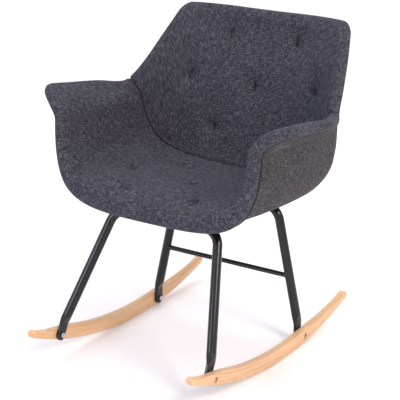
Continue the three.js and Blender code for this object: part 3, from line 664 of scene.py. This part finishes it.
def addPad(name, part):
    # one panel's padding and its cover, and how firmly each point of it is held
    panel = Panel(part)
    panelTufts = [tuft for tuft in tufts.values() if tuft["part"] == part]
    _, dv, normals = surfaceFrame(panel.u, panel.v)
    fromCrease = np.abs(panel.v - bucket["creaseV"]) * np.linalg.norm(dv, axis=-1)
    radius = bucket["creaseRound"] * mm
    drop = radius * (1 - np.sqrt(1 - np.clip(1 - fromCrease / radius, 0, 1)**2))
    depth = padDepth(panel.u, panel.v) - drop
    face = offsetPoint(panel.u, panel.v, depth)
    front = face - normals * dimpleDepth(face, panelTufts)[..., None]
    coreU, coreV = panel.insetGrid((bucket["seamInset"] + 2) * mm)
    shellSide = (bucket["shellHalf"] + bucket["layerGap"]) * mm
    back = offsetPoint(coreU, coreV, np.full(coreU.shape, shellSide))
    r, c = np.array(panel.path).T
    inside = depth[r, c]
    outside = coverDepth(panel.edgeU, panel.edgeV)
    half = (inside + outside) / 2
    # the roll, too, rounds off at the crease
    bulge = np.minimum(half, bucket["rollWidest"] * mm) - 0.6 * drop[r, c]
    steps = bucket["rollSteps"]
    rings = []
    for n in range(1, steps + 1):
        angle = n / steps * math.pi
        at = offsetPoint(panel.edgeU, panel.edgeV, (inside - outside) / 2 + half * math.cos(angle))
        rings.append(at + panel.outward * (bulge * math.sin(angle))[:, None])

    def addLine(inset, distance):
        u, v = panel.drawnIn(inset * mm)
        rings.append(offsetPoint(u, v, distance))

    turn = bucket["seamRound"]
    seamEdge = bucket["seamInset"] - bucket["seamGape"]
    for inset in (4, 8, seamEdge - turn):
        addLine(inset, -outside)
    for angle in bucket["seamTurns"]:
        addLine(seamEdge - turn * (1 - math.sin(angle)), -outside + turn * (1 - math.cos(angle)) * mm)
    addLine(seamEdge, np.full(len(r), -shellSide))
    for side in (-shellSide, shellSide):
        addLine(bucket["shellInset"] - 2, np.full(len(r), side))
    piece = closeLayer(name, panel, front, weaveAt(panel.u, panel.v), back, weaveAt(coreU, coreV),
                       rings, innerCloth)
    held = np.ones(len(piece.data.vertices))
    faceCount = panel.u.size
    held[:faceCount] = 1 - np.minimum(1, fromCrease.ravel() / (clothSettings["creaseHeld"] * radius))
    held[2 * faceCount:2 * faceCount + len(r) * (steps // 2)] = clothSettings["rollHeld"]
    for tuft in panelTufts:
        away = np.linalg.norm(front.reshape(-1, 3) - tuft["face"], axis=-1)
        ring = np.clip(1.8 - away / (clothSettings["tuftHeld"] * mm), 0, 1)
        held[:faceCount] = np.maximum(held[:faceCount], ring)
    return piece, held, panelTufts


def readPoints(mesh):
    points = np.zeros(len(mesh.vertices) * 3)
    mesh.vertices.foreach_get("co", points)
    return points.reshape(-1, 3)


def writePoints(mesh, points):
    mesh.vertices.foreach_set("co", points.ravel())
    mesh.update()


def settleCloth(piece, held):
    # lets the cover swell and pucker between its tufts, and keeps the result
    group = piece.vertex_groups.new(name="held")
    levels = np.round(held * 10) / 10
    for level in np.unique(levels):
        if level > 0:
            group.add([int(i) for i in np.nonzero(levels == level)[0]], float(level), "REPLACE")
    start = readPoints(piece.data)
    modifier = piece.modifiers.new("cloth", "CLOTH")
    settings = modifier.settings
    for key, value in clothSettings["solver"].items():
        setattr(settings, key, value)
    settings.shrink_min = clothSettings["slack"]
    settings.uniform_pressure_force = clothSettings["pressure"]
    settings.vertex_group_mass = "held"
    settings.effector_weights.gravity = 0
    modifier.collision_settings.use_collision = False
    modifier.collision_settings.use_self_collision = False
    modifier.point_cache.frame_start = 1
    modifier.point_cache.frame_end = clothSettings["frames"]
    for frameNumber in range(1, clothSettings["frames"] + 1):
        scene.frame_set(frameNumber)
    settled = piece.evaluated_get(bpy.context.evaluated_depsgraph_get())
    move = readPoints(settled.data) - start
    length = np.linalg.norm(move, axis=-1, keepdims=True)
    most = clothSettings["mostMovement"] * mm
    move *= np.minimum(1, most / np.maximum(length, 1e-9)) * (1 - levels[:, None])
    piece.modifiers.remove(modifier)
    scene.frame_set(1)
    writePoints(piece.data, start + move)
    print(piece.name, "settled, moved up to", round(float(length.max()) / mm, 1), "mm before the cap")


def refineNear(piece, panelTufts):
    # finer mesh round each tuft, for its fold
    work = bmesh.new()
    work.from_mesh(piece.data)
    centres = [Vector(tuft["face"]) for tuft in panelTufts]
    edges = []
    for edge in work.edges:
        at = (edge.verts[0].co + edge.verts[1].co) / 2
        if any((at - centre).length < tufting["fineReach"] * mm for centre in centres):
            edges.append(edge)
    bmesh.ops.subdivide_edges(work, edges=edges, cuts=tufting["fineCuts"], use_grid_fill=True)
    work.to_mesh(piece.data)
    work.free()


def carveFolds(piece, panelTufts):
    # the short fold that runs up and down through each tuft
    points = readPoints(piece.data)
    for n, tuft in enumerate(panelTufts):
        lean = math.radians(random.Random(n + 3).uniform(-tufting["slitLean"], tufting["slitLean"]))
        across = np.cross(tuft["up"], tuft["normal"])
        up = tuft["up"] * math.cos(lean) + across * math.sin(lean)
        across = np.cross(up, tuft["normal"])
        local = (points - tuft["face"]) / mm
        y = local @ up / tufting["slitLength"]
        x = (local @ across - tufting["slitBow"] * y**2) / tufting["slitWidth"]
        fold = np.exp(-x**2) * np.exp(-np.abs(y)**3)
        fold *= np.abs(local @ tuft["normal"]) < tufting["slitReach"]
        points -= tuft["normal"] * (fold * tufting["slitDepth"] * mm)[:, None]
    writePoints(piece.data, points)


for part in ("seat", "back"):
    piece, held, panelTufts = addPad(part + "Cushion", part)
    settleCloth(piece, held)
    refineNear(piece, panelTufts)
    carveFolds(piece, panelTufts)
    piece.vertex_groups.clear()
    piece.data.shade_smooth()
    finishPiece(piece, "fabric", part + "_pad")
print("cushions made")


def addCover():
    # the outside cloth and its thin wadding, from the seam round under the seat and up the back
    panel = Panel("whole")
    turn = bucket["seamRound"]
    seamEdge = bucket["seamInset"] + bucket["seamGape"]
    outerU, outerV = panel.insetGrid((seamEdge + turn) * mm)
    outer = offsetPoint(outerU, outerV, -coverDepth(outerU, outerV))
    shellSide = (bucket["shellHalf"] + bucket["layerGap"]) * mm
    innerU, innerV = panel.insetGrid((seamEdge + 1) * mm)
    inner = offsetPoint(innerU, innerV, np.full(innerU.shape, -shellSide))
    edge = coverDepth(panel.edgeU, panel.edgeV)
    rings = []
    for angle in bucket["seamTurns"]:
        u, v = panel.drawnIn((seamEdge + turn * (1 - math.sin(angle))) * mm)
        rings.append(offsetPoint(u, v, -edge + turn * (1 - math.cos(angle)) * mm))
    piece = closeLayer("outerCover", panel, outer, weaveAt(outerU, outerV), inner, weaveAt(innerU, innerV),
                       rings, outerCloth)
    finishPiece(piece, "fabric", "outer_cover")
    return panel


wholePanel = addCover()
print("cover made")


def sweep(name, rings, material, closed=False, uvs=None, uvName="weave"):
    # joins rings of points into one skin, with flat ends where it isn't closed on itself
    sides = len(rings[0])
    faces = []
    count = len(rings)
    for r in range(count if closed else count - 1):
        for s in range(sides):
            a = r * sides + s
            b = r * sides + (s + 1) % sides
            c = (r + 1) % count * sides
            faces.append((a, b, c + (s + 1) % sides, c + s))
    if not closed:
        faces.append(tuple(range(sides))[::-1])
        faces.append(tuple(range((count - 1) * sides, count * sides)))
    return makePiece(name, np.concatenate(rings), faces, material, uvs, uvName)


def circle(sides):
    angles = np.arange(sides) / sides * 2 * math.pi
    return angles, np.cos(angles), np.sin(angles)


seamLineCord = {
    "radius": 1.7,  # mm, the black cord laid along the seam's groove, which draws the seam as a dark line
    "sink": 1.3,  # its middle below the cloth
    "sides": 10,
}


# the seam's dark line, drawn as a black tube lying in its groove
def addSeamLineCord():
    u, v = wholePanel.drawnIn(bucket["seamInset"] * mm)
    depth = coverDepth(wholePanel.edgeU, wholePanel.edgeV) - seamLineCord["sink"] * mm
    line = offsetPoint(u, v, -depth)
    tangent = np.roll(line, -1, 0) - np.roll(line, 1, 0)
    tangent /= np.linalg.norm(tangent, axis=-1, keepdims=True)
    _, cosines, sines = circle(seamLineCord["sides"])
    side = np.cross(tangent[0], (0, 0, 1.0))
    rings = []
    for at, way in zip(line, tangent):
        side = side - way * (side @ way)
        side /= np.linalg.norm(side)
        ring = cosines[:, None] * side + sines[:, None] * np.cross(way, side)
        rings.append(at + seamLineCord["radius"] * mm * ring)
    finishPiece(sweep("seamWelt", rings, blackCord, True), "fabric")


addSeamLineCord()

# Leg loops: bent tube, its ends pressed flat and bolted to the rockers' inner faces. All sizes in mm.
loopShape = {
    "tubeRadius": 12,
    "footHalfWidth": 15,  # of the pressed end
    "footHalfThickness": 4,
    "footGap": 0.3,  # between a foot and its rocker
    "footStraight": 34,  # from the bolt up to the foot's bend
    "pressAbove": 26,  # the tube is round this far above that bend
    "pressBelow": 10,  # and flat this far below it
    "pressClear": 8,  # the bend takes this much of the length above
    "loopBend": 46,
    "footBend": 60,
    "barBendX": 152,
    "plateShift": 6,  # from the bar's middle back to its plate's
}
loopSides = 40

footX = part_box("left_rocker")[0].x - (loopShape["footHalfThickness"] + loopShape["footGap"]) * mm


def bend(before, corner, after, radius, steps):
    # places and directions round a bend
    enter = (corner - before).normalized()
    leave = (after - corner).normalized()
    turn = enter.angle(leave)
    start = corner - enter * radius * math.tan(turn / 2)
    side = (leave - enter * leave.dot(enter)).normalized()
    centre = start + side * radius
    places = []
    for k in range(steps + 1):
        c, s = math.cos(turn * k / steps), math.sin(turn * k / steps)
        places.append((centre - side * radius * c + enter * radius * s, enter * c + side * s))
    return places


def addLegLoop(name, node, bolt, plateNode):
    shape = {key: value * mm for key, value in loopShape.items()}
    bar = Vector((centreOf(plateNode).y - shape["plateShift"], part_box(node)[1].z - shape["tubeRadius"]))
    lean = bar - Vector((bolt.y, bolt.z))
    legLength = lean.length
    lean /= legLength

    def onLeg(x, distance):
        return Vector((x, bolt.y + lean.x * distance, bolt.z + lean.y * distance))

    across = Vector((0, lean.y, -lean.x))
    foot = onLeg(footX, -shape["footHalfWidth"])
    ankle = onLeg(footX, shape["footStraight"])
    shoulder = onLeg(shape["barBendX"], legLength)
    other = Vector((-shape["barBendX"], shoulder.y, shoulder.z))
    # each stop: its place, its direction, and its shares of the section's width and thickness
    stops = []
    for n in range(1, 13):
        angle = n / 12 * math.pi / 2  # round the foot's end
        at = onLeg(footX, -shape["footHalfWidth"] * math.cos(angle))
        stops.append((at, (ankle - foot).normalized(), math.sin(angle), min(1, 0.75 + n / 8)))
    stops += [(at, way, 1, 1) for at, way in bend(foot, ankle, shoulder, shape["footBend"], 10)]
    for n in range(1, 9):
        distance = shape["pressClear"] + (shape["pressAbove"] - shape["pressClear"]) * n / 8
        x = footX + (shape["barBendX"] - footX) * distance / (legLength - shape["footStraight"])
        stops.append((onLeg(x, shape["footStraight"] + distance), (shoulder - ankle).normalized(), 1, 1))
    stops += [(at, way, 1, 1) for at, way in bend(ankle, shoulder, other, shape["loopBend"], 20)]
    flatTo = shape["footStraight"] - shape["pressBelow"]
    roundFrom = shape["footStraight"] + shape["pressAbove"]
    rings = []
    for at, way, widthShare, thicknessShare in stops:
        distance = (at.y - bolt.y) * lean.x + (at.z - bolt.z) * lean.y
        t = float(smoothStep(distance, flatTo, roundFrom))
        width = (shape["footHalfWidth"] * (1 - t) + shape["tubeRadius"] * t) * widthShare
        thickness = (shape["footHalfThickness"] * (1 - t) + shape["tubeRadius"] * t) * thicknessShare
        flatways = way.cross(across).normalized()
        power = 2 / (2 + 3 * (1 - t))  # from a flat oval with round edges to a circle
        ring = []
        for s in range(loopSides):
            angle = (s + 0.5) / loopSides * 2 * math.pi
            x = math.copysign(abs(math.cos(angle))**power, math.cos(angle))
            y = math.copysign(abs(math.sin(angle))**power, math.sin(angle))
            ring.append(at + across * width * x + flatways * thickness * y)
        rings.append(np.array(ring))
    mirrored = [ring * np.array([-1, 1, 1]) for ring in rings]
    finishPiece(sweep(name, rings + mirrored[::-1], blackCoat), "black_steel", node)


addLegLoop("frontLegLoop", "front_leg_loop", frontBolt, "front_seat_plate")
addLegLoop("rearLegLoop", "rear_leg_loop", rearBolt, "rear_seat_plate")

stretcherShape = {
    "sides": 28,
    "bead": 1.6,  # mm, the weld's rise at each leg
    "beadReach": 2.2,
    "beadStep": 1.2,  # between the lines that draw it
}


def addStretcher():
    low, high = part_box("rear_stretcher")
    middle = (low + high) / 2
    radius = (high.z - low.z) / 2
    close = np.arange(1, 7) * stretcherShape["beadStep"] * mm
    _, cosines, sines = circle(stretcherShape["sides"])
    rings = []
    for x in np.sort(np.concatenate([np.linspace(low.x, high.x, 61), low.x + close, high.x - close])):
        fromEnd = min(x - low.x, high.x - x) / mm
        size = radius + stretcherShape["bead"] * mm * math.exp(-(fromEnd / stretcherShape["beadReach"])**2)
        rings.append(np.stack([np.full(len(sines), x), middle.y + size * cosines, middle.z + size * sines], -1))
    finishPiece(sweep("rearStretcher", rings, blackCoat), "black_steel", "rear_stretcher")


addStretcher()
print("legs made")

rockerShape = {
    "depth": 36,  # mm
    "tipDepth": 19,
    "frontTaper": 0.15,  # radians over which the depth falls to each tip
    "rearTaper": 0.25,
    "radius": 1014,
    "edge": 4.0,  # rounding along the edges
    "steps": 150,
    "tipSteps": 14,
    "tipStart": 0.06,  # radians round the tip's half circle, where its flat end is
    "overrun": 0.001,  # radians by which the arc passes the tips' middles
    "grainShift": (0.4, 0.07),  # metres, so that the two rockers differ
    "grainSkew": 0.35,
    "recessRadius": 6.9,
    "recessDepth": 6,
}


def addRocker(name, node, side):
    low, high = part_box(node)
    x = (low.x + high.x) / 2
    halfThickness = (high.x - low.x) / 2
    contactY = frame["record"]["mounts"][0]["pos_m"][1]
    radius = rockerShape["radius"] * mm
    edge = rockerShape["edge"] * mm
    tipHalf = rockerShape["tipDepth"] / 2 * mm
    middleRadius = radius - tipHalf
    start = -math.asin((contactY - low.y - tipHalf) / middleRadius) - rockerShape["overrun"]
    end = math.asin((high.y - contactY - tipHalf) / middleRadius) + rockerShape["overrun"]
    tip = tipHalf / middleRadius
    tipTurn = np.linspace(rockerShape["tipStart"], math.pi / 2, rockerShape["tipSteps"])
    arc = np.concatenate([
        start - tip * np.cos(tipTurn),
        np.linspace(start, end, rockerShape["steps"])[1:-1],
        end + tip * np.cos(tipTurn[::-1]),
    ])
    shiftAlong, shiftAcross = rockerShape["grainShift"]
    rings = []
    uvs = []
    for angle in arc:
        near = min((angle - start) / rockerShape["frontTaper"], (end - angle) / rockerShape["rearTaper"])
        t = float(smoothStep(near, 0, 1))
        depth = (rockerShape["tipDepth"] * (1 - t) + rockerShape["depth"] * t) * mm
        bottom = 0.0
        beyond = max(start - angle, angle - end, 0) / tip
        if beyond > 0:
            size = tipHalf * math.sqrt(max(0.0, 1 - min(beyond, 1)**2))
            bottom, depth = tipHalf - size, 2 * size
        corner = min(edge, depth * 0.48)
        width = halfThickness - (edge - corner) * 0.9
        ring = []
        for cx, cz, turn in ((1, 0, -90), (1, 1, 0), (-1, 1, 90), (-1, 0, 180)):
            for step in range(7):
                a = math.radians(turn + step * 15)
                px = cx * (width - corner) + corner * math.cos(a)
                pz = (corner if cz == 0 else depth - corner) + corner * math.sin(a)
                r = radius - bottom - pz
                ring.append((x + px, contactY + r * math.sin(angle), radius - r * math.cos(angle)))
                uvs.append((angle * radius + shiftAlong * side,
                            pz + px * rockerShape["grainSkew"] + shiftAcross * side))
        rings.append(np.array(ring))
    blank = sweep(name, rings, beechWood, False, np.array(uvs), "grain")
    cutters = []
    for bolt in (frontBolt, rearBolt):
        bpy.ops.mesh.primitive_cylinder_add(
            vertices=48, radius=rockerShape["recessRadius"] * mm, depth=2 * rockerShape["recessDepth"] * mm,
            location=(side * (abs(x) + halfThickness), bolt.y, bolt.z), rotation=(0, math.pi / 2, 0))
        cutters.append(bpy.context.object)
        boolean = blank.modifiers.new("recess", "BOOLEAN")
        boolean.operation = "DIFFERENCE"
        boolean.solver = "EXACT"
        boolean.object = cutters[-1]
    graph = bpy.context.evaluated_depsgraph_get()
    finished = bpy.data.meshes.new_from_object(blank.evaluated_get(graph))
    blank.modifiers.clear()
    blank.data = finished
    finished.name = name
    for cutter in cutters:
        bpy.data.objects.remove(cutter)
    finishPiece(blank, "beech", node)


addRocker("leftRocker", "left_rocker", 1)
addRocker("rightRocker", "right_rocker", -1)
print("rockers made")

# Fasteners, in mm. A kind's three sizes are its head's radius and height and its shank's length.
hardware = {
    "rocker_bolt": (6.5, 4.5, 16),
    "sleeve_nut": (5.2, 3.0, 11),
    "seat_bolt": (6.5, 4.5, 22),
    "nutUnder": 3.5,  # a sleeve nut's head rests this far inside the node's end
    "shankRadius": 3.0,
    "socketSize": 4.0,  # across the hexagon's flats
    "socketDepth": 2.5,
    "chamfer": 0.7,
    "sides": 36,
}


def headSource(kind):
    # one socket-headed fastener, its underside at the origin and its head towards +Z
    radius, height, shank = hardware[kind]
    chamfer = hardware["chamfer"]
    socket = hardware["socketSize"] / math.sqrt(3)
    profile = [(hardware["shankRadius"], -shank), (hardware["shankRadius"], 0), (radius, 0),
               (radius, height - chamfer), (radius - 0.3 * chamfer, height - 0.3 * chamfer),
               (radius - chamfer, height), (socket * 1.25, height)]
    angles, cosines, sines = circle(hardware["sides"])
    hexagon = socket * math.cos(math.pi / 6) / np.cos((angles + math.pi / 6) % (math.pi / 3) - math.pi / 6)
    profile += [(hexagon * 1.08, height), (hexagon, height - 0.35), (hexagon, height - hardware["socketDepth"])]
    rings = [np.stack([r * cosines, r * sines, np.full(len(sines), float(z))], -1) * mm for r, z in profile]
    return sweep(kind + "Source", rings, zincPlate)


def buttonSource():
    # a covered button: a low dome with a drawn-in edge, in shares of its radius
    radius = tufting["buttonRadius"] * mm
    profile = [(0.55, -0.5), (0.9, -0.42), (1.0, -0.2), (0.97, 0.02), (0.85, 0.22), (0.62, 0.36), (0.32, 0.44),
               (0.08, tufting["buttonDome"])]
    _, cosines, sines = circle(32)
    rings = [np.stack([r * cosines, r * sines, np.full(len(sines), z)], -1) * radius for r, z in profile]
    return sweep("buttonSource", rings, innerCloth, False, np.concatenate(rings)[:, :2])


def placingTree():
    # puts a copy of a source at every point, turned to the point's direction
    tree = bpy.data.node_groups.new("copiesOnPoints", "GeometryNodeTree")
    for name, kind in (("Geometry", "Geometry"), ("Source", "Object"), ("Size", "Float"), ("Turn Seed", "Int"),
                       ("Finish", "Material")):
        tree.interface.new_socket(name, in_out="INPUT", socket_type="NodeSocket" + kind)
    tree.interface.new_socket("Geometry", in_out="OUTPUT", socket_type="NodeSocketGeometry")
    given = addNode(tree, "NodeGroupInput").outputs
    facing = addNode(tree, "GeometryNodeInputNamedAttribute", {"data_type": "FLOAT_VECTOR", "Name": "facing"})
    aim = addNode(tree, "FunctionNodeAlignRotationToVector", {"axis": "Z"}, {"Vector": facing})
    spin = addNode(tree, "FunctionNodeRandomValue", {
        "data_type": "FLOAT", 3: math.pi,  # the greatest turn
    }, {"Seed": given["Turn Seed"]})
    about = addNode(tree, "ShaderNodeCombineXYZ", links={"Z": spin.outputs[1]})
    turned = addNode(tree, "FunctionNodeRotateRotation", {"rotation_space": "LOCAL"}, {0: aim, 1: about})
    source = addNode(tree, "GeometryNodeObjectInfo", links={"Object": given["Source"]})
    copies = addNode(tree, "GeometryNodeInstanceOnPoints", links={
        "Points": given["Geometry"], "Instance": source.outputs["Geometry"],
        "Rotation": turned, "Scale": given["Size"],
    })
    real = addNode(tree, "GeometryNodeRealizeInstances", links={"Geometry": copies})
    painted = addNode(tree, "GeometryNodeSetMaterial", links={"Geometry": real, "Material": given["Finish"]})
    addNode(tree, "NodeGroupOutput", links={"Geometry": painted})
    return tree


copiesTree = placingTree()


def placeCopies(name, source, places, material):
    # places: (point, direction) pairs
    mesh = bpy.data.meshes.new(name)
    mesh.from_pydata([tuple(at) for at, _ in places], [], [])
    facing = mesh.attributes.new("facing", "FLOAT_VECTOR", "POINT")
    facing.data.foreach_set("vector", np.array([tuple(way) for _, way in places], float).ravel())
    piece = bpy.data.objects.new(name, mesh)
    scene.collection.objects.link(piece)
    modifier = piece.modifiers.new("copies", "NODES")
    modifier.node_group = copiesTree
    given = {"Source": source, "Size": 1.0, "Turn Seed": 7, "Finish": material}
    for socket in copiesTree.interface.items_tree:
        if socket.name in given:
            modifier[socket.identifier] = given[socket.name]
    graph = bpy.context.evaluated_depsgraph_get()
    finished = bpy.data.meshes.new_from_object(piece.evaluated_get(graph))
    piece.modifiers.remove(modifier)
    piece.data = finished
    finished.name = name
    bpy.data.objects.remove(source)
    return piece


def headPlace(kind, sign, low, high):
    # where a head's underside goes, and the way that it faces
    middle = (low + high) / 2
    height = hardware[kind][1] * mm
    ends = sorted((abs(low.x), abs(high.x)))
    if kind == "rocker_bolt":
        return (sign * (ends[0] + height), middle.y, middle.z), (-sign, 0, 0)
    if kind == "sleeve_nut":
        return (sign * (ends[1] - hardware["nutUnder"] * mm), middle.y, middle.z), (sign, 0, 0)
    return (middle.x, middle.y, low.z + height), (0, 0, -1)


def addFasteners(name, kind):
    nodes, places = [], []
    for side, sign in (("left", 1), ("right", -1)):
        for end in ("front", "rear"):
            node = f"{end}_{side}_{kind}"
            nodes.append(node)
            places.append(headPlace(kind, sign, *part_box(node)))
    finishPiece(placeCopies(name, headSource(kind), places, zincPlate), "zinc", *nodes)


addFasteners("rockerBolts", "rocker_bolt")
addFasteners("sleeveNuts", "sleeve_nut")
addFasteners("seatBolts", "seat_bolt")


def addButtons():
    places = []
    for node in tuftNodes:
        tuft = tufts[node]
        sink = tufting["buttonSink"][tuft["part"]] + tufting["buttonRadius"] * tufting["buttonDome"]
        places.append((tuft["face"] - tuft["normal"] * sink * mm, tuft["normal"]))
    finishPiece(placeCopies("tuftButtons", buttonSource(), places, innerCloth), "fabric", *tuftNodes)


addButtons()
print("fasteners and buttons made")

# the hidden pieces keep the frame's meshes: finishes by the end of the node's name
frameFinishes = {
    "seat_shell": shellPlastic,
    "seat_plate": blackCoat,
    "spacer": rubberBlack,
    "tee_nut": zincPlate,
}
for node, body in frame["nodes"].items():
    for ending, material in frameFinishes.items():
        if node.endswith(ending):
            body.data.materials.clear()
            body.data.materials.append(material)

studio = {
    "floor": "#f7f5f8",
    "fibre": 3.33,  # mm
    "world": "#ffffff",
    "worldStrength": 1.0,
    "lamps": {
        "key": {"at": (3.2, -1.0, 2.8), "size": 1.4, "power": 95.0, "colour": "#ffeee6"},
        "fill": {"at": (-1.2, -3.6, 1.5), "size": 0.9, "power": 36.0, "colour": "#e0e0ff"},
        "top": {"at": (-0.4, 1.0, 4.2), "size": 3.0, "power": 45.0, "colour": "#ffffff"},
    },
    "aim": (0, 0, 0.4),
}


def addStudio():
    bpy.ops.mesh.primitive_plane_add(size=24, location=(0, 0, -0.5 * mm))
    floor = bpy.context.object
    floor.name = "floor"
    # matt background paper: pale, even and without a reflection
    material, tree = newMaterial("palePaperFloor")
    place = addNode(tree, "ShaderNodeTexCoord").outputs["Object"]
    fibre = addNode(tree, "ShaderNodeTexNoise", {"Scale": 1000 / studio["fibre"]}, {"Vector": place})
    bump = addNode(tree, "ShaderNodeBump", {"Strength": 0.03, "Distance": 0.5 * mm}, {"Height": fibre})
    finishMaterial(material, {"Base Color": studio["floor"], "Roughness": 0.9}, {"Normal": bump})
    floor.data.materials.append(material)
    world = bpy.data.worlds.new("studio")
    scene.world = world
    world.use_nodes = True
    world.node_tree.nodes.clear()
    sky = addNode(world.node_tree, "ShaderNodeBackground", {
        "Color": studio["world"], "Strength": studio["worldStrength"],
    })
    addNode(world.node_tree, "ShaderNodeOutputWorld", links={"Surface": sky})
    for name, given in studio["lamps"].items():
        data = bpy.data.lights.new(name, "AREA")
        data.shape = "DISK"
        data.size = given["size"]
        data.energy = given["power"]
        data.color = linear(given["colour"])[:3]
        lamp = bpy.data.objects.new(name, data)
        lamp.location = given["at"]
        lamp.rotation_euler = (Vector(studio["aim"]) - lamp.location).to_track_quat("-Z", "Y").to_euler()
        scene.collection.objects.link(lamp)


addStudio()
print("studio made")
